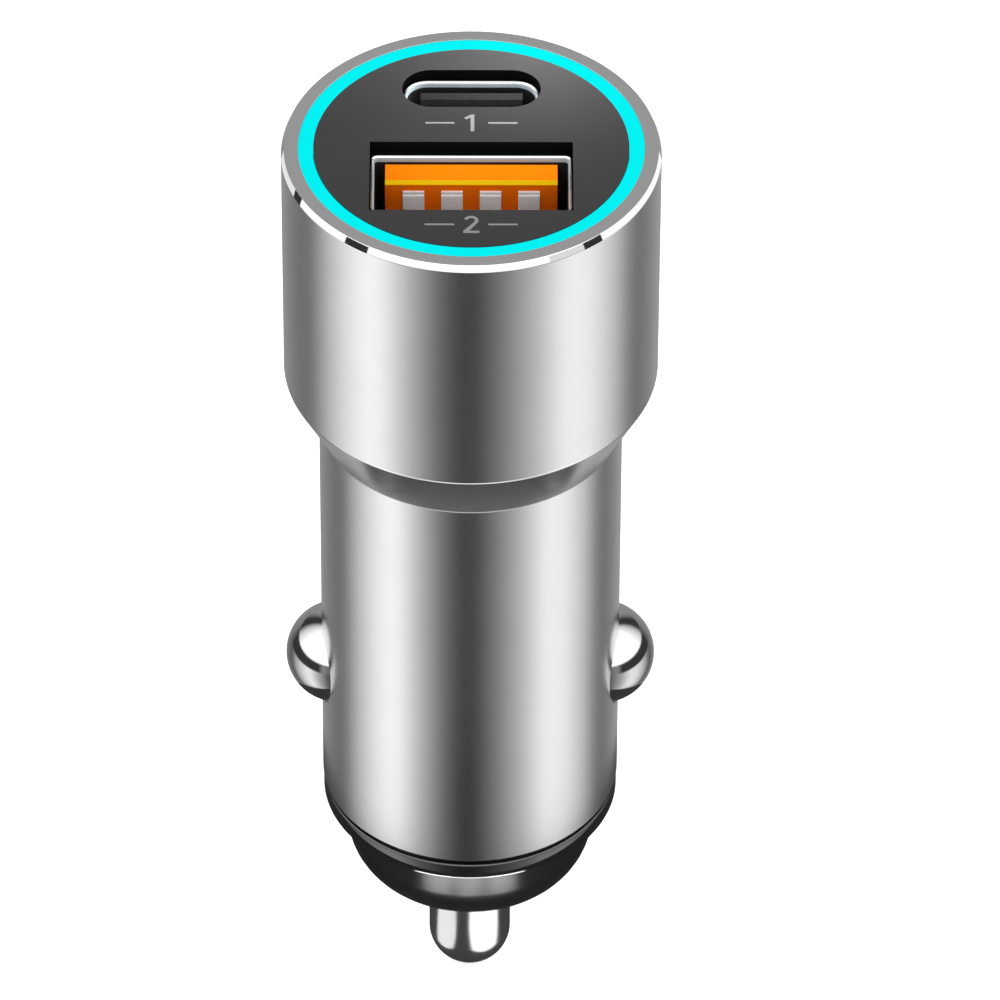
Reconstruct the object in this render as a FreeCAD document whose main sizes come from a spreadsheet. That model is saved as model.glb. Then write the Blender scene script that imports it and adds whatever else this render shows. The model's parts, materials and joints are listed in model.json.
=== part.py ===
import FreeCAD, Part
import math
import os
import re

import Sketcher
from FreeCAD import Placement, Rotation, Vector

# Car charger plug with two USB ports, in millimetres.
# The barrel axis is Z and the ports face +Z. The origin is the centre of the barrel's
# top end, where the neck begins: what is below it goes into the car's socket.
# X runs through the two side contacts. The USB-A port lies towards -Y.

DIMENSIONS = [
    ("barrel_radius", 10.1, "outside of the barrel that enters the socket"),
    ("barrel_wall", 1.0, "wall of the barrel"),
    ("barrel_length", 31.45, "barrel from the neck to its open end"),
    ("neck_height", 4.4, "cone between barrel and head"),
    ("head_radius", 12.4, "outside of the head"),
    ("head_height", 18.3, "straight side of the head"),
    ("head_wall", 1.6, "wall of the head below the face"),
    ("rim_wall", 1.12, "wall of the head around the light ring"),
    ("rim_chamfer", 0.35, "polished edge at the top of the head"),
    ("edge_break", 0.15, "small chamfer on the other turned edges"),
    ("ledge_rise", 1.1, "ledge for the port board, above the neck"),
    ("fit_gap", 0.05, "clearance all round pieces that are pushed in"),
    ("slide_gap", 0.06, "clearance all round pieces that slide"),
    ("ring_width", 0.95, "light ring across, at the face"),
    ("ring_height", 2.1, "light ring above its seat"),
    ("ring_step", 0.55, "ledge of the light ring that carries the panel"),
    ("panel_thickness", 1.3, "face panel"),
    ("panel_recess", 0.02, "face panel below the rim"),
    ("port_recess", 0.62, "port shells below the rim"),
    ("port_wall", 0.3, "sheet of both port shells"),
    ("port_step", 0.2, "port shells above the step around them"),
    ("port_base", 3.0, "base blocks of both insulators"),
    ("tongue_recess", 0.06, "tongue ends below the shell edges"),
    ("usb_a_web", 1.006, "panel between its edge and the corners of the USB-A opening"),
    ("usb_a_width", 13.1, "USB-A shell along X"),
    ("usb_a_depth", 5.87, "USB-A shell along Y"),
    ("usb_a_corner", 0.5, "outer corners of the USB-A shell"),
    ("usb_a_side_margin", 0.05, "panel opening beyond the shell, along X"),
    ("usb_a_margin", 0.64, "panel opening beyond the shell, towards +Y"),
    ("usb_a_near_margin", 0.52, "panel opening beyond the shell, towards -Y"),
    ("usb_a_tongue_width", 11.2, "USB-A tongue along X"),
    ("usb_a_tongue_thickness", 1.84, "USB-A tongue along Y"),
    ("usb_a_tongue_gap", 0.6, "space between tongue and the far shell wall"),
    ("usb_a_tongue_edge", 0.22, "chamfer at the end of the tongue, on the side of the contacts"),
    ("usb_a_contact_count", 4, "contacts on the tongue"),
    ("usb_a_contact_pitch", 2.5, "spacing of the contacts"),
    ("usb_a_contact_width", 1.4, "width of a contact"),
    ("usb_a_contact_thickness", 0.25, "sheet of a contact"),
    ("usb_a_contact_lift", 0.15, "contact proud of the tongue"),
    ("usb_a_contact_set", 0.7, "contact below the end of the tongue"),
    ("usb_c_web", 1.671, "panel between its edge and the USB-C opening"),
    ("usb_c_width", 8.94, "USB-C shell along X"),
    ("usb_c_depth", 3.16, "USB-C shell along Y"),
    ("usb_c_side_margin", 0.08, "panel opening beyond the shell, along X"),
    ("usb_c_margin", 0.37, "panel opening beyond the shell, along Y"),
    ("usb_c_tongue_width", 6.69, "USB-C tongue along X"),
    ("usb_c_tongue_thickness", 0.7, "USB-C tongue along Y"),
    ("usb_c_contact_count", 12, "contacts on each side of the tongue"),
    ("usb_c_contact_pitch", 0.5, "spacing of the contacts"),
    ("usb_c_contact_width", 0.25, "width of a contact"),
    ("usb_c_contact_thickness", 0.12, "sheet of a contact"),
    ("usb_c_contact_lift", 0.05, "contact proud of the tongue"),
    ("usb_c_contact_set", 0.5, "contact below the end of the tongue"),
    ("board_thickness", 1.6, "round port board"),
    ("led_count", 8, "light packages under the ring"),
    ("led_length", 1.6, "package along the ring"),
    ("led_width", 0.7, "package across the ring"),
    ("led_height", 0.7, "package height"),
    ("led_gap", 0.3, "space between a package and the light ring"),
    ("main_board_margin", 0.8, "edges of the upright board to the inside of the barrel"),
    ("main_board_thickness", 1.2, "upright board along Y"),
    ("main_board_slot", 1.0, "depth of its slot in the contact carrier"),
    ("capacitor_margin", 0.85, "can of a capacitor to the inside of the barrel"),
    ("capacitor_gap", 0.3, "each can to the middle plane between the two"),
    ("capacitor_height", 8.0, "length of the can"),
    ("inductor_size", 6.6, "power inductor, square side"),
    ("inductor_height", 3.2, "power inductor, off the board"),
    ("choke_size", 4.0, "input choke, square side"),
    ("choke_height", 2.4, "input choke, off the board"),
    ("chip_size", 4.0, "power controller, square side"),
    ("small_chip_size", 3.0, "port controller, square side"),
    ("chip_height", 0.85, "both controllers, off the board"),
    ("chip_offset", 3.6, "centres of the choke and chip, from the axis"),
    ("ceramic_count", 5, "chip capacitors in the row under the port board"),
    ("ceramic_pitch", 2.4, "spacing of the row"),
    ("ceramic_width", 1.25, "chip capacitor along X"),
    ("ceramic_length", 2.0, "chip capacitor along Z"),
    ("ceramic_height", 1.1, "chip capacitor, off the board"),
    ("fuse_width", 1.6, "input fuse along X"),
    ("fuse_length", 3.2, "input fuse along Z"),
    ("fuse_height", 0.8, "input fuse, off the board"),
    ("fuse_rise", 0.5, "input fuse above the terminal's foot"),
    ("contact_rise", 10.25, "axis of the side contacts, above the barrel's open end"),
    ("contact_radius", 3.49, "dome of a side contact"),
    ("contact_proud", 2.42, "dome beyond the barrel"),
    ("contact_wall", 0.45, "drawn sheet of a side contact"),
    ("contact_flange_radius", 4.1, "flange that holds the contact in"),
    ("contact_flange", 0.5, "thickness of the flange"),
    ("contact_stop_gap", 0.12, "flange to the inside of the barrel"),
    ("carrier_rise", 6.2, "top of the contact carrier above the contacts"),
    ("carrier_web", 2.0, "middle wall between the side contacts"),
    ("strap_thickness", 0.3, "sheet of the ground strap"),
    ("strap_width", 5.0, "legs of the ground strap"),
    ("strap_height", 6.0, "legs of the ground strap, along Z"),
    ("strap_riser", 1.9, "risers and bridge of the ground strap"),
    ("side_spring_radius", 2.55, "side spring, to the middle of the wire"),
    ("side_spring_wire", 0.5, "wire of a side spring"),
    ("side_spring_turns", 6, "turns of a side spring"),
    ("side_spring_reach", 0.5, "side spring beyond the centre of the dome"),
    ("terminal_radius", 6.0, "disc above the pin spring"),
    ("terminal_thickness", 0.5, "sheet of the positive terminal"),
    ("riser_width", 2.0, "strip from the disc to the main board"),
    ("riser_offset", 5.0, "strip from the axis, towards +Y"),
    ("foot_rise", 1.4, "foot of the strip above the contact carrier"),
    ("spigot_length", 2.4, "nose cap inside the barrel"),
    ("groove_depth", 0.5, "groove above the band, inside the barrel's radius"),
    ("groove_height", 0.35, "groove between barrel and band"),
    ("band_step", 0.05, "band of the nose cap, inside the barrel's radius"),
    ("band_height", 1.23, "band of the nose cap"),
    ("band_edge", 0.3, "rounding of the band"),
    ("nose_step", 1.64, "straight side of the nose, inside the barrel's radius"),
    ("nose_length", 6.71, "nose below the band"),
    ("nose_rounding", 3.7, "rounding of the nose"),
    ("nose_floor", 2.2, "wall at the end of the nose"),
    ("chamber_radius", 4.4, "space for the pin's shoulder and spring"),
    ("pin_radius", 2.81, "centre pin and its round end"),
    ("pin_length", 9.67, "centre pin beyond the nose"),
    ("pin_shoulder", 1.2, "shoulder of the pin"),
    ("pin_pilot_radius", 2.6, "pilot that guides the spring"),
    ("pin_pilot", 2.0, "height of the pilot"),
    ("pin_spring_radius", 3.45, "pin spring, to the middle of the wire"),
    ("pin_spring_wire", 0.7, "wire of the pin spring"),
    ("pin_spring_turns", 5, "turns of the pin spring"),
]

# Levels along Z
TOP = "(neck_height + head_height)"
RING_SEAT = f"({TOP} - ring_height)"
PANEL_TOP = f"({TOP} - panel_recess)"
PANEL_SEAT = f"({PANEL_TOP} - panel_thickness)"
SHELL_TOP = f"({TOP} - port_recess)"
TONGUE_TOP = f"({SHELL_TOP} - tongue_recess)"
LEDGE = "(neck_height + ledge_rise)"
BOARD_TOP = f"({LEDGE} + board_thickness)"
BARREL_END = "(-barrel_length)"
CAP_TOP = f"({BARREL_END} + spigot_length)"
TERMINAL_TOP = f"({CAP_TOP} + terminal_thickness)"
CONTACT_LEVEL = f"({BARREL_END} + contact_rise)"
CARRIER_TOP = f"({CONTACT_LEVEL} + carrier_rise)"
FOOT_BOTTOM = f"({CARRIER_TOP} + foot_rise)"
FUSE_BOTTOM = f"({FOOT_BOTTOM} + terminal_thickness + fuse_rise)"
BAND_TOP = f"({BARREL_END} - groove_height)"
BAND_BOTTOM = f"({BAND_TOP} - band_height)"
NOSE_END = f"({BAND_BOTTOM} - nose_length)"
CHAMBER_FLOOR = f"({NOSE_END} + nose_floor)"
SHOULDER_TOP = f"({CHAMBER_FLOOR} + slide_gap + pin_shoulder)"

# The parts on the front of the main board are spread evenly between both its ends
PARTS_LENGTH = "(ceramic_length + inductor_size + choke_size)"
PARTS_GAP = f"(({LEDGE} - {CARRIER_TOP} - {PARTS_LENGTH}) / 4)"
CERAMIC_LEVEL = f"({LEDGE} - {PARTS_GAP} - ceramic_length / 2)"
INDUCTOR_LEVEL = f"({CERAMIC_LEVEL} - {PARTS_GAP} - (ceramic_length + inductor_size) / 2)"
CHIP_LEVEL = f"({INDUCTOR_LEVEL} - {PARTS_GAP} - (inductor_size + choke_size) / 2)"
CAN_LEVEL = f"(({LEDGE} + {FUSE_BOTTOM} + fuse_length - capacitor_height) / 2)"

# Radii and places across
BORE = "(barrel_radius - barrel_wall)"
HEAD_BORE = "(head_radius - head_wall)"
FACE_BORE = "(head_radius - rim_wall)"
RING_INNER = f"({FACE_BORE} - ring_width)"
PANEL_RADIUS = f"({RING_INNER} - fit_gap)"
NECK_SLOPE = "((head_radius - barrel_radius) / neck_height)"
PIN_BORE = "(pin_radius + slide_gap)"
DOME_CENTRE = "(barrel_radius + contact_proud - contact_radius)"
FLANGE_FACE = f"(sqrt({BORE} ^ 2 - contact_flange_radius ^ 2) - contact_stop_gap)"
STRAP_FACE = "(carrier_web / 2 + strap_thickness)"
BOARD_FACE = "(main_board_thickness / 2)"
BOARD_WIDTH = f"(2 * ({BORE} - main_board_margin))"
CAN_REACH = f"({BORE} - capacitor_margin)"
CAN_SUM = f"({CAN_REACH} + capacitor_gap + {BOARD_FACE})"
CAN_CORNER = f"(capacitor_gap ^ 2 + {BOARD_FACE} ^ 2)"
CAN_RADIUS = f"(sqrt({CAN_SUM} ^ 2 + {CAN_REACH} ^ 2 - {CAN_CORNER}) - {CAN_SUM})"
GROOVE_RADIUS = "(barrel_radius - groove_depth)"
BAND_RADIUS = "(barrel_radius - band_step)"
NOSE_RADIUS = "(barrel_radius - nose_step)"
USB_A_HALF = "(usb_a_width / 2 + usb_a_side_margin)"
USB_A_CORNER = f"sqrt(({PANEL_RADIUS} - usb_a_web) ^ 2 - {USB_A_HALF} ^ 2)"
USB_A_OFFSET = f"({USB_A_CORNER} - usb_a_depth / 2 - usb_a_near_margin)"
USB_A_OPENING = f"((usb_a_margin - usb_a_near_margin) / 2 - {USB_A_OFFSET})"
USB_A_INSIDE_WIDTH = "(usb_a_width - 2 * port_wall)"
USB_A_INSIDE_DEPTH = "(usb_a_depth - 2 * port_wall)"
USB_A_TONGUE_FAR = f"({USB_A_INSIDE_DEPTH} / 2 - {USB_A_OFFSET} - usb_a_tongue_gap)"
USB_A_TONGUE_NEAR = f"({USB_A_TONGUE_FAR} - usb_a_tongue_thickness)"
USB_A_CONTACT_TOP = f"({TONGUE_TOP} - usb_a_contact_set)"
USB_A_FIRST = "(-usb_a_contact_pitch * (usb_a_contact_count - 1) / 2)"
USB_C_END = "(usb_c_depth / 2 + usb_c_margin)"
USB_C_STRAIGHT = f"(usb_c_width / 2 + usb_c_side_margin - {USB_C_END})"
USB_C_REACH = f"({PANEL_RADIUS} - usb_c_web - {USB_C_END})"
USB_C_OFFSET = f"sqrt({USB_C_REACH} ^ 2 - {USB_C_STRAIGHT} ^ 2)"
USB_C_CONTACT_TOP = f"({TONGUE_TOP} - usb_c_contact_set)"
USB_C_FIRST = "(-usb_c_contact_pitch * (usb_c_contact_count - 1) / 2)"

# Facets of a spring's wire
STATIONS_PER_TURN = 12
WIRE_SIDES = 8

doc = FreeCAD.newDocument("ChargerPlug")
sheet = doc.addObject("Spreadsheet::Sheet", "Dimensions")
for row, (alias, number, note) in enumerate(DIMENSIONS, start=1):
    sheet.set(f"A{row}", alias)
    sheet.set(f"B{row}", str(number))
    sheet.setAlias(f"B{row}", alias)
    sheet.set(f"C{row}", note)
doc.recompute()


def ref(text):
    """Point every size name in an expression at the sheet."""
    return re.sub(r"\b[a-z]\w*\b(?!\()", lambda word: "Dimensions." + word.group(0), text)


def value(text):
    """Work an expression out, in millimetres."""
    return float(sheet.evalExpression(ref(text)))


def bind(item, path, text):
    item.setExpression(path, ref(text))


def new_body(label):
    body = doc.addObject("PartDesign::Body", label)
    body.Label = label
    return body


def new_sketch(body, role, offset="0"):
    """Start a sketch on one of the body's origin planes, moved along its normal."""
    sketch = body.newObject("Sketcher::SketchObject", f"{body.Label}_sketch")
    plane = next(item for item in body.Origin.OriginFeatures if item.Role == role)
    sketch.AttachmentSupport = [(plane, "")]
    sketch.MapMode = "FlatFace"
    if offset != "0":
        bind(sketch, "AttachmentOffset.Base.z", offset)
    return sketch


def hold(sketch, kind, geometry, point, text):
    """Tie one coordinate of a sketch point to an expression."""
    index = sketch.addConstraint(Sketcher.Constraint(kind, -1, 1, geometry, point, value(text)))
    if text != "0":
        sketch.setExpression(f"Constraints[{index}]", ref(text))


def outline(sketch, corners):
    """Draw a closed outline.

    A corner is (x, y). A corner (x, y, cx, cy, turn) is reached by an arc about (cx, cy),
    and turn is 1 for anticlockwise or -1 for clockwise.
    """
    ends = []
    for index, corner in enumerate(corners):
        before = corners[index - 1]
        start = Vector(value(before[0]), value(before[1]), 0)
        end = Vector(value(corner[0]), value(corner[1]), 0)
        if len(corner) == 2:
            geometry = sketch.addGeometry(Part.LineSegment(start, end))
            ends.append((geometry, 1, 2))
            continue
        centre = Vector(value(corner[2]), value(corner[3]), 0)
        circle = Part.Circle(centre, Vector(0, 0, 1), (end - centre).Length)
        first, last = (start, end) if corner[4] > 0 else (end, start)
        angles = [math.atan2(spot.y - centre.y, spot.x - centre.x) for spot in (first, last)]
        if angles[1] < angles[0]:
            angles[1] += 2 * math.pi
        geometry = sketch.addGeometry(Part.ArcOfCircle(circle, angles[0], angles[1]))
        ends.append((geometry, 1, 2) if corner[4] > 0 else (geometry, 2, 1))
    for index, corner in enumerate(corners):
        geometry, _, finish = ends[index]
        after, start, _ = ends[(index + 1) % len(corners)]
        sketch.addConstraint(Sketcher.Constraint("Coincident", geometry, finish, after, start))
        hold(sketch, "DistanceX", geometry, finish, corner[0])
        hold(sketch, "DistanceY", geometry, finish, corner[1])
        if len(corner) > 2:
            hold(sketch, "DistanceY", geometry, 3, corner[3])


def rectangle(sketch, cx, cy, width, depth):
    left = f"({cx} - {width} / 2)"
    right = f"({cx} + {width} / 2)"
    low = f"({cy} - {depth} / 2)"
    high = f"({cy} + {depth} / 2)"
    outline(sketch, [(left, low), (right, low), (right, high), (left, high)])


def rounded_rectangle(sketch, cx, cy, width, depth, corner):
    left = f"({cx} - {width} / 2)"
    right = f"({cx} + {width} / 2)"
    low = f"({cy} - {depth} / 2)"
    high = f"({cy} + {depth} / 2)"
    left_in = f"({left} + {corner})"
    right_in = f"({right} - {corner})"
    low_in = f"({low} + {corner})"
    high_in = f"({high} - {corner})"
    outline(sketch, [
        (left_in, low),
        (right_in, low),
        (right, low_in, right_in, low_in, 1),
        (right, high_in),
        (right_in, high, right_in, high_in, 1),
        (left_in, high),
        (left, high_in, left_in, high_in, 1),
        (left, low_in),
        (left_in, low, left_in, low_in, 1),
    ][1:])


def obround(sketch, cy, width, depth):
    """Draw a slot centred on X with full round ends."""
    inner = f"(({width} - {depth}) / 2)"
    low = f"({cy} - {depth} / 2)"
    high = f"({cy} + {depth} / 2)"
    right_end = f"({width} / 2)"
    left_end = f"(-{width} / 2)"
    outline(sketch, [
        (inner, low),
        (right_end, cy, inner, cy, 1),
        (inner, high, inner, cy, 1),
        (f"(-{inner})", high),
        (left_end, cy, f"(-{inner})", cy, 1),
        (f"(-{inner})", low, f"(-{inner})", cy, 1),
    ])


def circle(sketch, cx, cy, radius):
    shape = Part.Circle(Vector(value(cx), value(cy), 0), Vector(0, 0, 1), value(radius))
    geometry = sketch.addGeometry(shape)
    hold(sketch, "DistanceX", geometry, 3, cx)
    hold(sketch, "DistanceY", geometry, 3, cy)
    index = sketch.addConstraint(Sketcher.Constraint("Radius", geometry, value(radius)))
    sketch.setExpression(f"Constraints[{index}]", ref(radius))


def add_feature(body, kind, sketch, length):
    """Add a pad or a pocket of a bound length; no length means through all."""
    feature = body.newObject(f"PartDesign::{kind}", f"{body.Label}_{kind.lower()}")
    feature.Profile = sketch
    if length is None:
        feature.Type = "ThroughAll"
    else:
        bind(feature, "Length", length)
    return feature


def pad(body, sketch, length, symmetric=False):
    feature = add_feature(body, "Pad", sketch, length)
    if symmetric:
        feature.SideType = "Symmetric"
    doc.recompute()
    return feature


def pocket(body, sketch, length=None, upwards=False, symmetric=False):
    """Cut a sketch out of the body, and make sure that it removed something."""
    doc.recompute()
    before = body.Shape.Volume
    feature = add_feature(body, "Pocket", sketch, length)
    feature.Reversed = upwards
    if symmetric:
        feature.SideType = "Symmetric"
    doc.recompute()
    if body.Shape.Volume > before - 1e-6:
        raise RuntimeError(f"{feature.Name} cuts nothing")
    return feature


def revolve(body, sketch, axis):
    feature = body.newObject("PartDesign::Revolution", f"{body.Label}_revolution")
    feature.Profile = sketch
    feature.ReferenceAxis = (sketch, [axis])
    feature.Angle = 360
    doc.recompute()
    return feature


def dress_edges(body, kind, path, size, wanted):
    """Fillet or chamfer the edges of the body's last feature that pass a test."""
    base = body.Tip
    names = [f"Edge{index}" for index, edge in enumerate(base.Shape.Edges, start=1) if wanted(edge)]
    if not names:
        raise RuntimeError(f"{body.Label} has no edge to dress")
    feature = body.newObject(f"PartDesign::{kind}", f"{body.Label}_{kind.lower()}")
    feature.Base = (base, names)
    bind(feature, path, size)
    doc.recompute()
    return feature


def ring_edge(radius, level):
    """Test for a round edge about Z with this radius, at this level."""
    def wanted(edge):
        curve = edge.Curve
        if not isinstance(curve, Part.Circle):
            return False
        near_radius = abs(curve.Radius - value(radius)) < 1e-4
        return near_radius and abs(curve.Center.z - value(level)) < 1e-4
    return wanted


def repeat_along_x(body, feature, count, pitch):
    """Repeat a feature in a row along X."""
    pattern = body.newObject("PartDesign::LinearPattern", f"{body.Label}_row")
    pattern.Originals = [feature]
    axis = next(item for item in body.Origin.OriginFeatures if item.Role == "X_Axis")
    pattern.Direction = (axis, [""])
    bind(pattern, "Length", f"{pitch} * ({count} - 1)")
    bind(pattern, "Occurrences", count)
    body.Tip = pattern
    doc.recompute()
    return pattern


def box(label, cx, cy, bottom, width, depth, height):
    """Make a block centred on (cx, cy), standing on a level."""
    block = doc.addObject("Part::Box", label)
    block.Label = label
    bind(block, "Length", width)
    bind(block, "Width", depth)
    bind(block, "Height", height)
    bind(block, "Placement.Base.x", f"{cx} - {width} / 2")
    bind(block, "Placement.Base.y", f"{cy} - {depth} / 2")
    bind(block, "Placement.Base.z", bottom)
    return block


def group(label, members):
    """Join separate solids into one sub-part."""
    compound = doc.addObject("Part::Compound", label)
    compound.Label = label
    compound.Links = members
    return compound


def coil_spring(label, mean_radius, wire, turns, length, base, rotation):
    """Wind a spring from a base point along the local Z of a rotation.

    The wire is eight-sided, and lofted straight from each twelfth of a turn to the next.
    """
    radius = value(mean_radius)
    half_wire = value(wire) / 2
    count = round(value(turns) * STATIONS_PER_TURN)
    rise = (value(length) - 2 * half_wire) / count
    sections = []
    for station in range(count + 1):
        angle = 2 * math.pi * station / STATIONS_PER_TURN
        outwards = Vector(math.cos(angle), math.sin(angle), 0)
        centre = outwards * radius + Vector(0, 0, half_wire + rise * station)
        corners = []
        for side in range(WIRE_SIDES + 1):
            turn = 2 * math.pi * (side + 0.5) / WIRE_SIDES
            lift = Vector(0, 0, math.sin(turn))
            corners.append(centre + (outwards * math.cos(turn) + lift) * half_wire)
        sections.append(Part.makePolygon(corners))
    spring = doc.addObject("Part::Feature", label)
    spring.Label = label
    spring.Shape = Part.makeLoft(sections, True, True)
    spring.Placement = Placement(Vector(*[value(text) for text in base]), rotation)
    return spring


def make_housing():
    """Turn the head, neck and barrel in one piece, with a round hole on each side."""
    body = new_body("housing")
    sketch = new_sketch(body, "XZ_Plane")
    outline(sketch, [
        (BORE, BARREL_END),
        ("barrel_radius - edge_break", BARREL_END),
        ("barrel_radius", f"{BARREL_END} + edge_break"),
        ("barrel_radius", "0"),
        (f"head_radius - edge_break * {NECK_SLOPE}", "neck_height - edge_break"),
        ("head_radius", "neck_height + edge_break"),
        ("head_radius", f"{TOP} - rim_chamfer"),
        ("head_radius - rim_chamfer", TOP),
        (FACE_BORE, TOP),
        (FACE_BORE, RING_SEAT),
        (HEAD_BORE, RING_SEAT),
        (HEAD_BORE, LEDGE),
        (BORE, LEDGE),
    ])
    revolve(body, sketch, "V_Axis")
    holes = new_sketch(body, "YZ_Plane")
    circle(holes, "0", CONTACT_LEVEL, "contact_radius + slide_gap")
    pocket(body, holes, symmetric=True)
    return body


def make_light_ring():
    """Ring at the face, with a skirt that leads the light up from the port board."""
    body = new_body("light_ring")
    sketch = new_sketch(body, "XZ_Plane")
    step_radius = f"({RING_INNER} - ring_step)"
    skirt_end = f"{BOARD_TOP} + led_height + led_gap"
    outline(sketch, [
        (step_radius, skirt_end),
        (f"{HEAD_BORE} - fit_gap", skirt_end),
        (f"{HEAD_BORE} - fit_gap", RING_SEAT),
        (f"{FACE_BORE} - fit_gap", RING_SEAT),
        (f"{FACE_BORE} - fit_gap", TOP),
        (RING_INNER, TOP),
        (RING_INNER, PANEL_SEAT),
        (step_radius, PANEL_SEAT),
    ])
    revolve(body, sketch, "V_Axis")
    return body


def make_face_panel():
    """Round plate with a stepped rectangular opening and a stepped obround one."""
    body = new_body("face_panel")
    disc = new_sketch(body, "XY_Plane", PANEL_SEAT)
    circle(disc, "0", "0", PANEL_RADIUS)
    pad(body, disc, "panel_thickness")
    openings = new_sketch(body, "XY_Plane", PANEL_TOP)
    rectangle(openings, "0", USB_A_OPENING, "(usb_a_width + 2 * usb_a_side_margin)",
              "(usb_a_depth + usb_a_margin + usb_a_near_margin)")
    obround(openings, USB_C_OFFSET, "(usb_c_width + 2 * usb_c_side_margin)",
            "(usb_c_depth + 2 * usb_c_margin)")
    pocket(body, openings, f"{PANEL_TOP} - {SHELL_TOP} + port_step")
    seats = new_sketch(body, "XY_Plane", PANEL_TOP)
    rounded_rectangle(seats, "0", f"-{USB_A_OFFSET}", "(usb_a_width + 2 * fit_gap)",
                      "(usb_a_depth + 2 * fit_gap)", "usb_a_corner")
    obround(seats, USB_C_OFFSET, "(usb_c_width + 2 * fit_gap)", "(usb_c_depth + 2 * fit_gap)")
    pocket(body, seats, "panel_thickness")
    return body


def make_usb_a():
    """USB-A port: folded shell, insulator with a tongue, and four contacts."""
    shell = new_body("usb_a_shell")
    tube = new_sketch(shell, "XY_Plane", BOARD_TOP)
    rounded_rectangle(tube, "0", f"-{USB_A_OFFSET}", "usb_a_width", "usb_a_depth", "usb_a_corner")
    rounded_rectangle(tube, "0", f"-{USB_A_OFFSET}", USB_A_INSIDE_WIDTH, USB_A_INSIDE_DEPTH,
                      "(usb_a_corner - port_wall)")
    pad(shell, tube, f"{SHELL_TOP} - {BOARD_TOP}")

    insulator = new_body("usb_a_insulator")
    base = new_sketch(insulator, "XY_Plane", BOARD_TOP)
    rounded_rectangle(base, "0", f"-{USB_A_OFFSET}", f"({USB_A_INSIDE_WIDTH} - 2 * fit_gap)",
                      f"({USB_A_INSIDE_DEPTH} - 2 * fit_gap)", "(usb_a_corner - port_wall)")
    pad(insulator, base, "port_base")
    tongue = new_sketch(insulator, "XY_Plane", BOARD_TOP)
    tongue_middle = f"({USB_A_TONGUE_FAR} - usb_a_tongue_thickness / 2)"
    rectangle(tongue, "0", tongue_middle, "usb_a_tongue_width", "usb_a_tongue_thickness")
    pad(insulator, tongue, f"{TONGUE_TOP} - {BOARD_TOP}")
    level = value(TONGUE_TOP)
    side = value(USB_A_TONGUE_NEAR)
    dress_edges(insulator, "Chamfer", "Size", "usb_a_tongue_edge",
                lambda edge: all(abs(spot.Z - level) < 1e-4 and abs(spot.Y - side) < 1e-4
                                 for spot in edge.Vertexes))
    slots = new_sketch(insulator, "XY_Plane", BOARD_TOP)
    outer = f"({USB_A_TONGUE_NEAR} - usb_a_contact_lift)"
    middle = f"({outer} + usb_a_contact_thickness / 2)"
    rectangle(slots, USB_A_FIRST, f"({middle} - fit_gap / 2)",
              "(usb_a_contact_width + 2 * fit_gap)", "(usb_a_contact_thickness + fit_gap)")
    slot = pocket(insulator, slots, f"{USB_A_CONTACT_TOP} - {BOARD_TOP} + fit_gap", upwards=True)
    repeat_along_x(insulator, slot, "usb_a_contact_count", "usb_a_contact_pitch")

    contacts = new_body("usb_a_contacts")
    strip = new_sketch(contacts, "XY_Plane", BOARD_TOP)
    rectangle(strip, USB_A_FIRST, middle, "usb_a_contact_width", "usb_a_contact_thickness")
    first = pad(contacts, strip, f"{USB_A_CONTACT_TOP} - {BOARD_TOP}")
    repeat_along_x(contacts, first, "usb_a_contact_count", "usb_a_contact_pitch")
    return [shell, insulator, contacts]


def make_usb_c():
    """USB-C port: obround shell, insulator with a tongue, and two rows of contacts."""
    shell = new_body("usb_c_shell")
    tube = new_sketch(shell, "XY_Plane", BOARD_TOP)
    obround(tube, USB_C_OFFSET, "usb_c_width", "usb_c_depth")
    obround(tube, USB_C_OFFSET, "(usb_c_width - 2 * port_wall)",
            "(usb_c_depth - 2 * port_wall)")
    pad(shell, tube, f"{SHELL_TOP} - {BOARD_TOP}")

    insulator = new_body("usb_c_insulator")
    base = new_sketch(insulator, "XY_Plane", BOARD_TOP)
    obround(base, USB_C_OFFSET, "(usb_c_width - 2 * port_wall - 2 * fit_gap)",
            "(usb_c_depth - 2 * port_wall - 2 * fit_gap)")
    pad(insulator, base, "port_base")
    tongue = new_sketch(insulator, "XY_Plane", BOARD_TOP)
    rectangle(tongue, "0", USB_C_OFFSET, "usb_c_tongue_width", "usb_c_tongue_thickness")
    pad(insulator, tongue, f"{TONGUE_TOP} - {BOARD_TOP}")

    contacts = new_body("usb_c_contacts")
    slots = new_sketch(insulator, "XY_Plane", BOARD_TOP)
    strips = new_sketch(contacts, "XY_Plane", BOARD_TOP)
    reach = "(usb_c_tongue_thickness / 2 + usb_c_contact_lift - usb_c_contact_thickness / 2)"
    for side in ("-", "+"):
        middle = f"({USB_C_OFFSET} {side} {reach})"
        slot_middle = f"({middle} {side} fit_gap / 2)"
        rectangle(strips, USB_C_FIRST, middle, "usb_c_contact_width", "usb_c_contact_thickness")
        rectangle(slots, USB_C_FIRST, slot_middle, "(usb_c_contact_width + 2 * fit_gap)",
                  "(usb_c_contact_thickness + fit_gap)")
    height = f"{USB_C_CONTACT_TOP} - {BOARD_TOP}"
    slot = pocket(insulator, slots, f"{height} + fit_gap", upwards=True)
    repeat_along_x(insulator, slot, "usb_c_contact_count", "usb_c_contact_pitch")
    first = pad(contacts, strips, height)
    repeat_along_x(contacts, first, "usb_c_contact_count", "usb_c_contact_pitch")
    return [shell, insulator, contacts]


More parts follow.
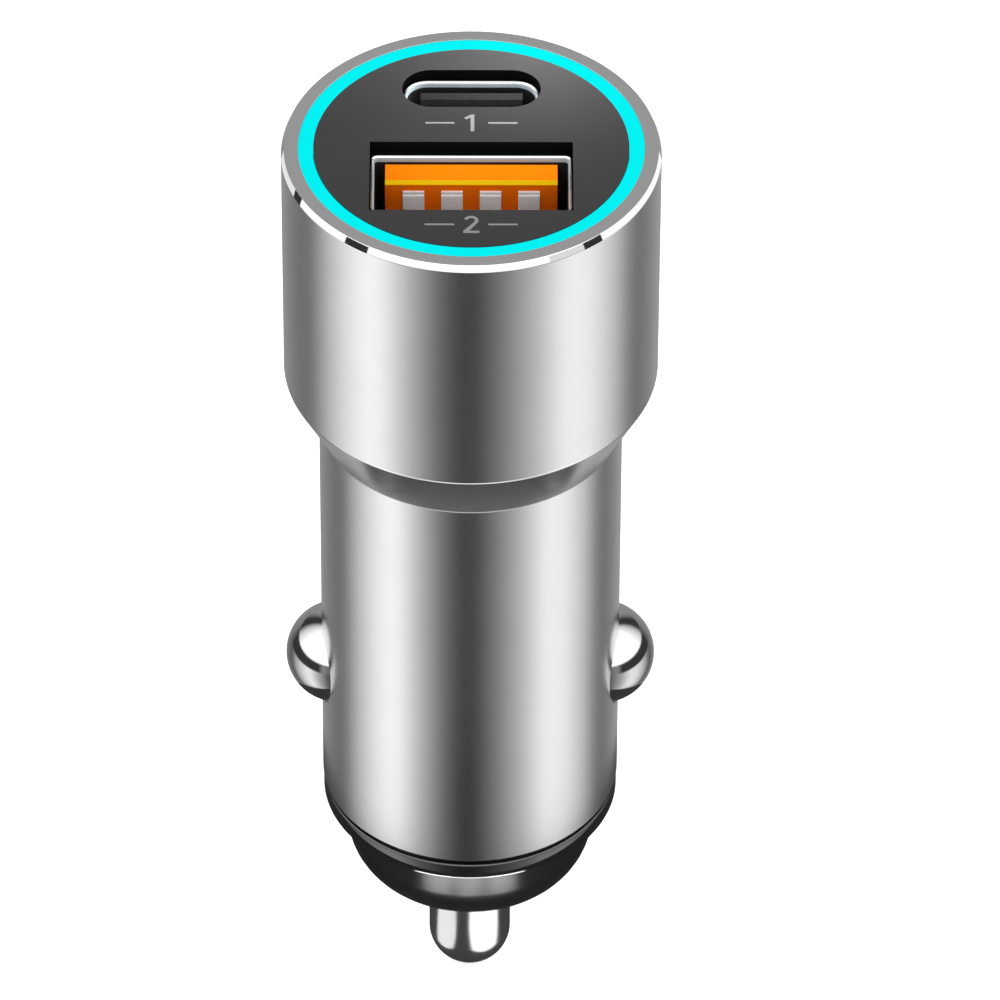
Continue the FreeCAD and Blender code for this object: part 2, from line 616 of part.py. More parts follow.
def make_port_board():
    """Round board on the ledge, with a ring of light packages."""
    board = new_body("port_board")
    disc = new_sketch(board, "XY_Plane", LEDGE)
    circle(disc, "0", "0", f"{HEAD_BORE} - fit_gap")
    pad(board, disc, "board_thickness")

    leds = new_body("ring_leds")
    package = new_sketch(leds, "XY_Plane", BOARD_TOP)
    rectangle(package, f"({HEAD_BORE} - led_width)", "0", "led_width", "led_length")
    first = pad(leds, package, "led_height")
    pattern = leds.newObject("PartDesign::PolarPattern", "ring_leds_circle")
    pattern.Originals = [first]
    axis = next(item for item in leds.Origin.OriginFeatures if item.Role == "Z_Axis")
    pattern.Axis = (axis, [""])
    pattern.Angle = 360
    bind(pattern, "Occurrences", "led_count")
    leds.Tip = pattern
    doc.recompute()
    return [board, leds]


def make_main_board():
    """Upright board between the port board and the contact carrier, with its parts."""
    bottom = f"({CARRIER_TOP} - main_board_slot + fit_gap)"
    board = box("main_board", "0", "0", bottom, BOARD_WIDTH, "main_board_thickness",
                f"{LEDGE} - {bottom}")

    def on_front(label, cx, cz, size_x, size_z, height):
        cy = f"(-{BOARD_FACE} - {height} / 2)"
        return box(label, cx, cy, f"{cz} - {size_z} / 2", size_x, height, size_z)

    inductors = group("inductors", [
        on_front("power_inductor", "0", INDUCTOR_LEVEL, "inductor_size", "inductor_size",
                 "inductor_height"),
        on_front("input_choke", "(-chip_offset)", CHIP_LEVEL, "choke_size", "choke_size",
                 "choke_height"),
    ])
    chips = group("controller_chips", [
        on_front("power_chip", "chip_offset", CHIP_LEVEL, "chip_size", "chip_size", "chip_height"),
        on_front("port_chip", "(inductor_size / 2 + small_chip_size)", INDUCTOR_LEVEL,
                 "small_chip_size", "small_chip_size", "chip_height"),
    ])
    ceramics = []
    for index in range(round(value("ceramic_count"))):
        place = f"(ceramic_pitch * ({index} - (ceramic_count - 1) / 2))"
        ceramics.append(on_front(f"ceramic_{index + 1}", place, CERAMIC_LEVEL,
                                 "ceramic_width", "ceramic_length", "ceramic_height"))
    ceramic_group = group("chip_capacitors", ceramics)
    fuse = box("input_fuse", "0", f"({BOARD_FACE} + fuse_height / 2)", FUSE_BOTTOM,
               "fuse_width", "fuse_height", "fuse_length")
    cans = []
    for side in (-1, 1):
        can = doc.addObject("Part::Cylinder", "capacitor")
        bind(can, "Radius", CAN_RADIUS)
        bind(can, "Height", "capacitor_height")
        bind(can, "Placement.Base.x", f"{side} * ({CAN_RADIUS} + capacitor_gap)")
        bind(can, "Placement.Base.y", f"{BOARD_FACE} + {CAN_RADIUS}")
        bind(can, "Placement.Base.z", CAN_LEVEL)
        cans.append(can)
    return [board, inductors, chips, ceramic_group, fuse, group("capacitors", cans)]


def make_contact_carrier():
    """Moulded insert with a bore for each side contact and slots for the metal strips."""
    body = new_body("contact_carrier")
    disc = new_sketch(body, "XY_Plane", TERMINAL_TOP)
    circle(disc, "0", "0", f"{BORE} - fit_gap")
    pad(body, disc, f"{CARRIER_TOP} - {TERMINAL_TOP}")
    for side in (-1, 1):
        bore = new_sketch(body, "YZ_Plane", f"{side} * carrier_web / 2")
        circle(bore, "0", CONTACT_LEVEL, "contact_flange_radius + slide_gap")
        pocket(body, bore, "barrel_radius", upwards=side > 0)
    risers = new_sketch(body, "XY_Plane", CARRIER_TOP)
    for side in (-1, 1):
        rectangle(risers, f"({side} * (carrier_web + strap_thickness + fit_gap) / 2)",
                  f"({BOARD_FACE} + strap_riser / 2)", "(strap_thickness + fit_gap)",
                  "(strap_riser + 2 * fit_gap)")
    pocket(body, risers, "carrier_rise")
    board_slot = new_sketch(body, "XY_Plane", CARRIER_TOP)
    rectangle(board_slot, "0", "0", f"({BOARD_WIDTH} + 2 * fit_gap)",
              "(main_board_thickness + 2 * fit_gap)")
    pocket(body, board_slot, "main_board_slot")
    channel = new_sketch(body, "XY_Plane", CARRIER_TOP)
    rectangle(channel, "0", "(riser_offset + terminal_thickness / 2)",
              "(riser_width + 2 * fit_gap)", "(terminal_thickness + 2 * fit_gap)")
    pocket(body, channel)
    return body


def make_side_contact(label, side):
    """Drawn cap with a domed end and a flange; side is 1 for +X and -1 for -X."""
    body = new_body(label)
    bind(body, "Placement.Base.z", CONTACT_LEVEL)
    sketch = new_sketch(body, "XZ_Plane")
    inside = "(contact_radius - contact_wall)"
    centre = f"({side} * {DOME_CENTRE})"
    tip = f"({side} * ({DOME_CENTRE} + contact_radius))"
    inner_tip = f"({side} * ({DOME_CENTRE} + {inside}))"
    flange_outer = f"({side} * {FLANGE_FACE})"
    flange_inner = f"({side} * ({FLANGE_FACE} - contact_flange))"
    outline(sketch, [
        (tip, "0"),
        (centre, "contact_radius", centre, "0", side),
        (flange_outer, "contact_radius"),
        (flange_outer, "contact_flange_radius"),
        (flange_inner, "contact_flange_radius"),
        (flange_inner, inside),
        (centre, inside),
        (inner_tip, "0", centre, "0", -side),
    ])
    revolve(body, sketch, "H_Axis")
    return body


def make_ground_strap():
    """Folded strip: two legs behind the side springs, two risers and a bridge."""
    body = new_body("ground_strap")
    leg_bottom = f"({CONTACT_LEVEL} - strap_height / 2)"
    leg_middle = "((carrier_web + strap_thickness) / 2)"
    riser_middle = f"({BOARD_FACE} + strap_riser / 2)"
    bridge = new_sketch(body, "XY_Plane", CARRIER_TOP)
    rectangle(bridge, "0", riser_middle, f"(2 * {STRAP_FACE})", "strap_riser")
    pad(body, bridge, "strap_thickness")
    risers = new_sketch(body, "XY_Plane", leg_bottom)
    legs = new_sketch(body, "XY_Plane", leg_bottom)
    for side in (-1, 1):
        rectangle(risers, f"({side} * {leg_middle})", riser_middle, "strap_thickness",
                  "strap_riser")
        rectangle(legs, f"({side} * {leg_middle})", "0", "strap_thickness", "strap_width")
    pad(body, risers, f"{CARRIER_TOP} - {leg_bottom}")
    pad(body, legs, "strap_height")
    return body


def make_positive_terminal():
    """Disc above the pin spring, a riser, and a foot that meets the main board."""
    body = new_body("positive_terminal")
    disc = new_sketch(body, "XY_Plane", CAP_TOP)
    circle(disc, "0", "0", "terminal_radius")
    pad(body, disc, "terminal_thickness")
    riser = new_sketch(body, "XY_Plane", CAP_TOP)
    rectangle(riser, "0", "(riser_offset + terminal_thickness / 2)", "riser_width",
              "terminal_thickness")
    pad(body, riser, f"{FOOT_BOTTOM} + terminal_thickness - {CAP_TOP}")
    foot = new_sketch(body, "XY_Plane", FOOT_BOTTOM)
    foot_reach = f"(riser_offset + terminal_thickness - {BOARD_FACE})"
    rectangle(foot, "0", f"({BOARD_FACE} + {foot_reach} / 2)", "riser_width", foot_reach)
    pad(body, foot, "terminal_thickness")
    return body


def make_nose_cap():
    """Black cap: spigot in the barrel, groove, band, rounded nose, and the pin's chamber."""
    body = new_body("nose_cap")
    sketch = new_sketch(body, "XZ_Plane")
    outline(sketch, [
        (PIN_BORE, NOSE_END),
        (NOSE_RADIUS, NOSE_END),
        (NOSE_RADIUS, BAND_BOTTOM),
        (BAND_RADIUS, BAND_BOTTOM),
        (BAND_RADIUS, BAND_TOP),
        (GROOVE_RADIUS, BAND_TOP),
        (GROOVE_RADIUS, BARREL_END),
        (f"{BORE} - fit_gap", BARREL_END),
        (f"{BORE} - fit_gap", CAP_TOP),
        ("chamber_radius", CAP_TOP),
        ("chamber_radius", CHAMBER_FLOOR),
        (PIN_BORE, CHAMBER_FLOOR),
    ])
    revolve(body, sketch, "V_Axis")
    dress_edges(body, "Fillet", "Radius", "nose_rounding", ring_edge(NOSE_RADIUS, NOSE_END))
    dress_edges(body, "Fillet", "Radius", "band_edge", ring_edge(BAND_RADIUS, BAND_BOTTOM))
    dress_edges(body, "Chamfer", "Size", "edge_break", ring_edge(BAND_RADIUS, BAND_TOP))
    dress_edges(body, "Chamfer", "Size", "edge_break", ring_edge(PIN_BORE, NOSE_END))
    return body


def make_centre_pin():
    """Plunger with a round end, a shoulder inside the nose, and a pilot for its spring."""
    body = new_body("centre_pin")
    sketch = new_sketch(body, "XZ_Plane")
    round_centre = f"({NOSE_END} - pin_length + pin_radius)"
    shoulder_radius = "(chamber_radius - slide_gap)"
    shoulder_bottom = f"({CHAMBER_FLOOR} + slide_gap)"
    outline(sketch, [
        ("0", f"{NOSE_END} - pin_length"),
        ("pin_radius", round_centre, "0", round_centre, 1),
        ("pin_radius", shoulder_bottom),
        (shoulder_radius, shoulder_bottom),
        (shoulder_radius, SHOULDER_TOP),
        ("pin_pilot_radius", SHOULDER_TOP),
        ("pin_pilot_radius", f"{SHOULDER_TOP} + pin_pilot"),
        ("0", f"{SHOULDER_TOP} + pin_pilot"),
    ])
    revolve(body, sketch, "V_Axis")
    return body


def make_springs():
    """Compression springs behind the side contacts and the centre pin."""
    springs = []
    side_length = f"({DOME_CENTRE} + side_spring_reach - {STRAP_FACE})"
    for label, side in (("left_contact_spring", -1), ("right_contact_spring", 1)):
        springs.append(coil_spring(
            label, "side_spring_radius", "side_spring_wire", "side_spring_turns", side_length,
            (f"{side} * {STRAP_FACE}", "0", CONTACT_LEVEL),
            Rotation(Vector(0, 1, 0), 90 * side)))
    springs.append(coil_spring(
        "pin_spring", "pin_spring_radius", "pin_spring_wire", "pin_spring_turns",
        f"({CAP_TOP} - {SHOULDER_TOP})", ("0", "0", SHOULDER_TOP), Rotation()))
    return springs


nodes = [make_housing(), make_light_ring(), make_face_panel()]
nodes += make_usb_a()
nodes += make_usb_c()
nodes += make_port_board()
nodes += make_main_board()
nodes.append(make_contact_carrier())
nodes.append(make_side_contact("left_contact", -1))
nodes.append(make_side_contact("right_contact", 1))
nodes.append(make_ground_strap())
nodes.append(make_positive_terminal())
nodes.append(make_nose_cap())
nodes.append(make_centre_pin())
nodes += make_springs()
doc.recompute()

for item in doc.Objects:
    if "Invalid" in item.State or "Error" in item.State:
        raise RuntimeError(f"{item.Name} failed: {item.State}")
for node in nodes:
    if node.Shape.isNull() or not node.Shape.isValid():
        raise RuntimeError(f"{node.Label} has no valid shape")

os.makedirs("parts", exist_ok=True)
for node in nodes:
    node.Shape.exportStep(f"parts/{node.Label}.step")
    print(node.Label, len(node.Shape.Solids), round(node.Shape.Volume, 2))
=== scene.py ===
import json
import math

import bmesh
import bpy
from bpy.props import FloatProperty, FloatVectorProperty, PointerProperty
from mathutils import Matrix, Quaternion, Vector


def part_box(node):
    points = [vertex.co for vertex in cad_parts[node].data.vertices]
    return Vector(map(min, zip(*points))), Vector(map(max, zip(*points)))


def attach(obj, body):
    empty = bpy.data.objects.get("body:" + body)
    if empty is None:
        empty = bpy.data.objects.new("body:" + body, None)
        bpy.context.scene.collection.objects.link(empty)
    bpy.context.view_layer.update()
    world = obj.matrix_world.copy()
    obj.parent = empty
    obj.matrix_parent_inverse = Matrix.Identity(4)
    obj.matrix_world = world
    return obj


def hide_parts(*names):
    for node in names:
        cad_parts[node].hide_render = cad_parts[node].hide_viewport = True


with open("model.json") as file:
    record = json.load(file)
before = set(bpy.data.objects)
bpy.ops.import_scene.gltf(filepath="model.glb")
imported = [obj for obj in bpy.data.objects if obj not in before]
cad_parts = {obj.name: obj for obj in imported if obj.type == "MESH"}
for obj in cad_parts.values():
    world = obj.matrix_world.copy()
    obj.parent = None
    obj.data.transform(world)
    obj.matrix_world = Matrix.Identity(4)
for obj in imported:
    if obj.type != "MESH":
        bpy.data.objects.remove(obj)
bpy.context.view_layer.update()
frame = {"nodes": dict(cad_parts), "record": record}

bl_info = {
    "name": "Car Charger Plug",
    "version": (1, 0, 0),
    "blender": (4, 5, 0),
    "location": "View3D > Sidebar > Charger",
    "description": "Dresses the frame of a car charger plug with two USB ports",
    "category": "Add Mesh",
}

ROUND_STEPS = 256
MOUNTS = {mount["name"]: mount for mount in frame["record"]["mounts"]}


def low(node):
    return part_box(node)[0]


def high(node):
    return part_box(node)[1]


def length(name, default, description):
    """A size that the sidebar shows in the scene's unit of length."""
    return FloatProperty(name=name, default=default, description=description, unit="LENGTH",
                         precision=5, min=0)


def colour(name, default, description):
    return FloatVectorProperty(name=name, default=default, description=description,
                               subtype="COLOR", size=3, min=0, max=1)


class HousingSizes(bpy.types.PropertyGroup):
    barrel_radius: length("Barrel radius", MOUNTS["socket_barrel"]["dims"]["r_mm"] / 1000,
                          "Outside of the barrel")
    barrel_wall: length("Barrel wall", 0.001, "Wall of the barrel")
    neck_height: length("Neck height", 0.0044, "Cone between barrel and head")
    head_wall: length("Head wall", 0.0016, "Wall of the head below the face")
    rim_wall: length("Rim wall", 0.00112, "Wall of the head around the light ring")
    rim_chamfer: length("Rim chamfer", 0.0002, "Polished edge of the rim, towards the middle")
    rim_drop: length("Rim drop", 0.0005, "Polished edge of the rim, downwards")
    edge_break: length("Edge break", 0.00015, "Small chamfer on the other turned edges")
    ledge_rise: length("Ledge rise", 0.0011, "Ledge for the port board above the neck")
    metal: colour("Metal", (0.78, 0.78, 0.785), "Satin metal of the head and barrel")
    edge_metal: colour("Polished edge", (0.93, 0.93, 0.935), "Bright metal of the turned edges")


class FaceSizes(bpy.types.PropertyGroup):
    ring_width: length("Ring width", 0.00095, "Light ring across, at the face")
    ring_height: length("Ring height", 0.0021, "Light ring above its seat")
    ring_step: length("Ring step", 0.00055, "Ledge of the light ring that carries the panel")
    ring_light: colour("Ring light", (0.0018, 0.871, 0.887), "Light of the ring")
    panel: colour("Panel", (0.0315, 0.0315, 0.032), "Face panel")
    ink: colour("Ink", (0.23, 0.23, 0.23), "Printed port numbers")
    opening_step: length("Opening step", 0.0002, "Port shells above the step around them")
    mark_height: length("Mark height", 0.00175, "Height of the port numbers")
    mark_width: length("Mark width", 0.006, "A port number with its two rules")


class PortSizes(bpy.types.PropertyGroup):
    wall: length("Shell wall", 0.0003, "Sheet of both port shells")
    lip_depth: length("Lip depth", 0.0006, "Flared inside of the shells' mouths")
    fit_gap: length("Fit gap", 0.00005, "Panel to shell, all round")
    a_side_margin: length("USB-A side margin", 0.00005, "Panel opening beyond the shell, along X")
    a_margin: length("USB-A margin", 0.00064, "Panel opening beyond the shell, towards +Y")
    a_near_margin: length("USB-A near margin", 0.00052, "Panel opening beyond the shell, towards -Y")
    c_side_margin: length("USB-C side margin", 0.00008, "Panel opening beyond the shell, along X")
    c_margin: length("USB-C margin", 0.00037, "Panel opening beyond the shell, along Y")
    a_corner: length("USB-A corner", 0.0005, "Outer corners of the USB-A shell")
    a_tongue_width: length("USB-A tongue", 0.0112, "Tongue along X")
    a_tongue_thickness: length("USB-A tongue thickness", 0.00184, "Tongue along Y")
    a_tongue_gap: length("USB-A tongue gap", 0.0006, "Space between tongue and far shell wall")
    a_tongue_edge: length("USB-A tongue edge", 0.00022, "Chamfer of the tongue over the contacts")
    a_contact_pitch: length("USB-A pitch", 0.0025, "Spacing of the contacts")
    c_tongue_width: length("USB-C tongue", 0.00669, "Tongue along X")
    c_tongue_thickness: length("USB-C tongue thickness", 0.0007, "Tongue along Y")
    base_height: length("Base height", 0.003, "Base blocks of both insulators")
    orange: colour("Orange", (0.72, 0.175, 0.0), "USB-A insulator")
    # Orange edge is a lighter copy of the orange, painted light on the tongue's chamfer.
    orange_edge_painted_light: colour("Orange edge", (1.0, 0.6, 0.003), "Chamfer of the tongue")
    # Orange front is a painted-shade copy of the orange, for the side of the tongue with the contacts.
    orange_front_painted_shade: colour("Orange front", (0.95, 0.165, 0.002), "Side of the tongue with the contacts")


class ContactSizes(bpy.types.PropertyGroup):
    radius: length("Contact radius", 0.00349, "Dome of a side contact")
    wall: length("Contact wall", 0.00045, "Drawn sheet of a side contact")
    flange: length("Flange", 0.0005, "Thickness of the flange that holds a contact in")
    hole_gap: length("Hole gap", 0.00006, "Clearance of a contact in the barrel")
    nickel: colour("Nickel", (0.64, 0.64, 0.65), "Plated side contacts")
    chrome: colour("Chrome", (0.86, 0.86, 0.87), "Plated pin")


class NoseSizes(bpy.types.PropertyGroup):
    groove_depth: length("Groove depth", 0.0005, "Groove above the band")
    groove_height: length("Groove height", 0.00035, "Groove between barrel and band")
    band_height: length("Band height", 0.00123, "Band as wide as the barrel")
    band_edge: length("Band edge", 0.00006, "Rounding of the band")
    nose_step: length("Nose step", 0.00164, "Side of the nose inside the barrel's radius")
    nose_rounding: length("Nose rounding", 0.0037, "Rounding of the nose")
    nose_floor: length("Nose floor", 0.0022, "Wall at the end of the nose")
    chamber_radius: length("Chamber radius", 0.0044, "Space for the pin's shoulder and spring")
    slide_gap: length("Slide gap", 0.00006, "Clearance round the pin")
    pin_radius: length("Pin radius", 0.00281, "Centre pin and its round end")
    pin_shoulder: length("Pin shoulder", 0.0012, "Shoulder of the pin inside the nose")
    pilot_radius: length("Pilot radius", 0.0026, "Pilot that guides the spring")
    black: colour("Black", (0.006, 0.006, 0.007), "Nose cap")


class StageSettings(bpy.types.PropertyGroup):
    floor_gap: length("Floor gap", 0.0004, "Floor below the pin")
    camera_distance: length("Camera distance", 0.62, "Camera from the barrel's top end")
    camera_lift: FloatProperty(name="Camera lift", default=math.radians(40.23), subtype="ANGLE",
                               description="Camera above the horizon")
    lens: FloatProperty(name="Lens", default=335.13, description="Focal length in millimetres")
    roll: FloatProperty(name="Camera roll", default=math.radians(0.12), subtype="ANGLE",
                        description="Turn of the camera about its line of sight")
    shift: FloatProperty(name="Shift", default=0.0294, description="Picture to the right, in widths")
    aim_up: FloatProperty(name="Aim up", default=-0.009324, description="Aim upwards")
    ambient: FloatProperty(name="Ambient", default=1.0, min=0, description="Soft light all round")
    face_light: FloatProperty(name="Face light", default=0.0053, min=0,
                              description="Watts of the small softbox behind the face")


GROUPS = {
    "charger_housing": HousingSizes,
    "charger_face": FaceSizes,
    "charger_ports": PortSizes,
    "charger_contacts": ContactSizes,
    "charger_nose": NoseSizes,
    "charger_stage": StageSettings,
}


def shader(name, base, metallic=0.0, roughness=0.5, **sockets):
    """Start a material; further sockets of the surface shader are given by name."""
    material = bpy.data.materials.new(name)
    material.use_nodes = True
    surface = material.node_tree.nodes["Principled BSDF"]
    surface.inputs["Base Color"].default_value = (*base, 1)
    surface.inputs["Metallic"].default_value = metallic
    surface.inputs["Roughness"].default_value = roughness
    for socket, number in sockets.items():
        surface.inputs[socket.replace("_", " ").title().replace("Ior", "IOR")].default_value = number
    return material


def add_node(material, kind, **settings):
    node = material.node_tree.nodes.new(kind)
    for name, setting in settings.items():
        setattr(node, name, setting)
    return node


def pattern_place(material, scale=(1, 1, 1)):
    """Object coordinates in metres, stretched for a pattern."""
    places = add_node(material, "ShaderNodeTexCoord")
    mapping = add_node(material, "ShaderNodeMapping")
    mapping.inputs["Scale"].default_value = scale
    material.node_tree.links.new(places.outputs["Object"], mapping.inputs["Vector"])
    return mapping.outputs["Vector"]


def noise(material, scale, detail=4.0, roughness=0.6, stretch=(1, 1, 1)):
    texture = add_node(material, "ShaderNodeTexNoise")
    texture.inputs["Scale"].default_value = scale
    texture.inputs["Detail"].default_value = detail
    texture.inputs["Roughness"].default_value = roughness
    material.node_tree.links.new(pattern_place(material, stretch), texture.inputs["Vector"])
    return texture.outputs["Fac"]


def spread(material, factor, lowest, highest):
    """Turn a pattern between 0 and 1 into numbers between two limits."""
    limits = add_node(material, "ShaderNodeMapRange")
    limits.inputs["To Min"].default_value = lowest
    limits.inputs["To Max"].default_value = highest
    material.node_tree.links.new(factor, limits.inputs["Value"])
    return limits.outputs["Result"]


def blend_colours(material, factor, first, second):
    ramp = add_node(material, "ShaderNodeValToRGB")
    ramp.color_ramp.elements[0].position = 0.35
    ramp.color_ramp.elements[1].position = 0.65
    ramp.color_ramp.elements[0].color = (*first, 1)
    ramp.color_ramp.elements[1].color = (*second, 1)
    material.node_tree.links.new(factor, ramp.inputs["Fac"])
    return ramp.outputs["Color"]


def surface_of(material):
    return material.node_tree.nodes["Principled BSDF"]


def connect(material, output, socket):
    material.node_tree.links.new(output, surface_of(material).inputs[socket])


def add_bump(material, height, strength, distance):
    bump = add_node(material, "ShaderNodeBump")
    bump.inputs["Strength"].default_value = strength
    bump.inputs["Distance"].default_value = distance
    material.node_tree.links.new(height, bump.inputs["Height"])
    connect(material, bump.outputs["Normal"], "Normal")


def grained(material, grain, strength=0.1, distance=0.00001, rough_spread=0.04, tint=0.03):
    """Give a surface fine grain, and slow differences in its gloss and colour."""
    surface = surface_of(material)
    base = Vector(surface.inputs["Base Color"].default_value[:3])
    rough = surface.inputs["Roughness"].default_value
    slow = noise(material, 220.0, detail=3.0)
    darker = [max(part * (1 - tint), 0) for part in base]
    lighter = [min(part * (1 + tint), 1) for part in base]
    connect(material, blend_colours(material, slow, darker, lighter), "Base Color")
    cloud = noise(material, 900.0, detail=3.0)
    connect(material, spread(material, cloud, rough - rough_spread, rough + rough_spread), "Roughness")
    add_bump(material, noise(material, grain, detail=2.0), strength, distance)
    return material


def finish(name, base, metallic, roughness, grain, **sockets):
    """Make a grained material; the grain is scale, strength, distance, spread of gloss and tint."""
    return grained(shader(name, base, metallic, roughness, **sockets), *grain)


def lit_ring(sizes):
    """Glowing light guide, its colour a little deeper in random patches."""
    material = shader("lit_ring", (0.0, 0.02, 0.02), 0.0, 0.35, specular_ior_level=0.0,
                      emission_strength=1.0)
    cloud = noise(material, 500.0, detail=2.0)
    deep = [part * 0.97 for part in sizes.ring_light]
    connect(material, blend_colours(material, cloud, deep, sizes.ring_light), "Emission Color")
    add_bump(material, noise(material, 5000.0), 0.05, 0.000002)
    return material


def port_sheet_and_painted_shades():
    """Bright sheet, and two darker copies of it painted inside a port's lip: a grey painted shade on the
    slope, standing in for the sheet's dimmer reflection, and a near-black painted shade deep inside.
    """
    return [
        finish("port_steel", (0.9, 0.9, 0.9), 1.0, 0.2, (7000.0, 0.05, 0.000002, 0.03, 0.02)),
        # grey painted shade on the slope of the lip, in place of the steel's reflection
        finish("flare_painted_shade", (0.42, 0.49, 0.53), 0.0, 0.4, (7000.0, 0.06, 0.000003, 0.05, 0.05),
               specular_ior_level=0.6),
        # near-black painted shade on the sheet deep inside the port
        finish("inside_painted_shade", (0.02, 0.02, 0.02), 0.0, 0.7, (7000.0, 0.08, 0.000003, 0.05, 0.1),
               specular_ior_level=0.15),
    ]


def moulded(name, base):
    """Moulded plastic inside a port, with little gloss."""
    return finish(name, base, 0.0, 0.5, (9000.0, 0.1, 0.000004, 0.05, 0.04), specular_ior_level=0.03)


def polished(name, plating, roughness):
    return finish(name, plating, 1.0, roughness, (6000.0, 0.02, 0.000001, 0.015, 0.01))


def rounded_profile(mesh, corners, steps=4):
    """Lay out a closed profile in the XZ plane; a corner is (radius, level, rounding)."""
    rounded = {}
    spots = []
    for radius, level, rounding in corners:
        spot = mesh.verts.new((radius, 0, level))
        spots.append(spot)
        if rounding:
            rounded.setdefault(rounding, []).append(spot)
    mesh.faces.new(spots)
    for rounding, chosen in rounded.items():
        bmesh.ops.bevel(mesh, geom=chosen, offset=rounding, offset_type="OFFSET", segments=steps,
                        profile=0.5, affect="VERTICES", material=-1)
    bmesh.ops.delete(mesh, geom=mesh.faces[:], context="FACES_ONLY")
    on_axis = [edge for edge in mesh.edges if all(abs(end.co.x) < 1e-9 for end in edge.verts)]
    bmesh.ops.delete(mesh, geom=on_axis, context="EDGES")


def turned(corners, steps=ROUND_STEPS, round_steps=4):
    """Turn a closed profile about Z."""
    mesh = bmesh.new()
    rounded_profile(mesh, corners, round_steps)
    bmesh.ops.spin(mesh, geom=mesh.verts[:] + mesh.edges[:], cent=(0, 0, 0), axis=(0, 0, 1),
                   angle=2 * math.pi, steps=steps, use_merge=True, use_duplicate=False)
    bmesh.ops.remove_doubles(mesh, verts=mesh.verts, dist=1e-7)
    bmesh.ops.recalc_face_normals(mesh, faces=mesh.faces)
    return mesh


def block(mesh, lowest, highest):
    """Add a block between two corners, and give back what was made."""
    lowest = Vector(lowest)
    highest = Vector(highest)
    made = bmesh.ops.create_cube(mesh, size=1)["verts"]
    bmesh.ops.scale(mesh, vec=highest - lowest, verts=made)
    bmesh.ops.translate(mesh, vec=(highest + lowest) / 2, verts=made)
    return made


def bevel_end(mesh, made, level, furthest, width, segments):
    """Bevel the edges of a block that lie at a level and no further along Y."""
    edges = {edge for spot in made for edge in spot.link_edges
             if all(abs(end.co.z - level) < 1e-7 and end.co.y < furthest for end in edge.verts)}
    bmesh.ops.bevel(mesh, geom=list(edges), offset=width, offset_type="OFFSET", segments=segments,
                    profile=0.5, affect="EDGES", material=-1)


def outline_face(mesh, centre, width, depth, corner, level, steps=8):
    """Add a flat face with rounded corners, facing up."""
    made = bmesh.ops.create_grid(mesh, x_segments=1, y_segments=1, size=0.5)["verts"]
    bmesh.ops.scale(mesh, vec=(width, depth, 1), verts=made)
    bmesh.ops.translate(mesh, vec=(centre[0], centre[1], level), verts=made)
    rounded = bmesh.ops.bevel(mesh, geom=made, offset=min(corner, depth / 2 - 1e-7),
                              offset_type="OFFSET", segments=steps, profile=0.5,
                              affect="VERTICES", material=-1)
    bmesh.ops.remove_doubles(mesh, verts=rounded["verts"], dist=1e-6)
    middle = Vector((centre[0], centre[1], level))
    return min(mesh.faces, key=lambda face: (face.calc_center_median() - middle).length)


def raise_face(mesh, face, height):
    """Pull a face up into a solid, and give back its new top."""
    made = bmesh.ops.extrude_face_region(mesh, geom=[face])["geom"]
    corners = [item for item in made if isinstance(item, bmesh.types.BMVert)]
    bmesh.ops.translate(mesh, vec=(0, 0, height), verts=corners)
    return next(item for item in made if isinstance(item, bmesh.types.BMFace))


def step_in(mesh, face, inwards, rise):
    """Narrow the top face and move it, which leaves a sloping band around it."""
    bmesh.ops.inset_region(mesh, faces=[face], thickness=inwards, depth=rise,
                           use_even_offset=True, use_boundary=True)


def mesh_object(mesh, name):
    data = bpy.data.meshes.new(name)
    mesh.to_mesh(data)
    mesh.free()
    item = bpy.data.objects.new(name, data)
    bpy.context.scene.collection.objects.link(item)
    return item


def cut_out(mesh, cutters):
    """Take the cutters out of a mesh exactly."""
    body = mesh_object(mesh, "cut_body")
    tool = mesh_object(cutters, "cut_tool")
    cut = body.modifiers.new("cut", "BOOLEAN")
    cut.operation = "DIFFERENCE"
    cut.solver = "EXACT"
    cut.object = tool
    evaluated = body.evaluated_get(bpy.context.evaluated_depsgraph_get())
    data = bpy.data.meshes.new_from_object(evaluated)
    result = bmesh.new()
    result.from_mesh(data)
    for item in (body, tool):
        bpy.data.objects.remove(item)
    bpy.data.meshes.remove(data)
    return result


def paint(mesh, index, test):
    """Give a material to the faces whose middle and normal pass a test."""
    for face in mesh.faces:
        if test(face.calc_center_median(), face.normal):
            face.material_index = index


def settle(mesh, name, materials, body, nodes, sharp=30, edge=0.0):
    """Make the finished piece, and put it in its node's place."""
    piece = mesh_object(mesh, name)
    for material in materials:
        piece.data.materials.append(material)
    piece.data.shade_smooth()
    piece.data.set_sharp_from_angle(angle=math.radians(sharp))
    if edge:
        bevel = piece.modifiers.new("small_edges", "BEVEL")
        bevel.width = edge
        bevel.segments = 2
        bevel.limit_method = "ANGLE"
        bevel.angle_limit = math.radians(40)
    shading = piece.modifiers.new("even_shading", "WEIGHTED_NORMAL")
    shading.keep_sharp = True
    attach(piece, body)
    for node in nodes:
        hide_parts(node)
    return piece


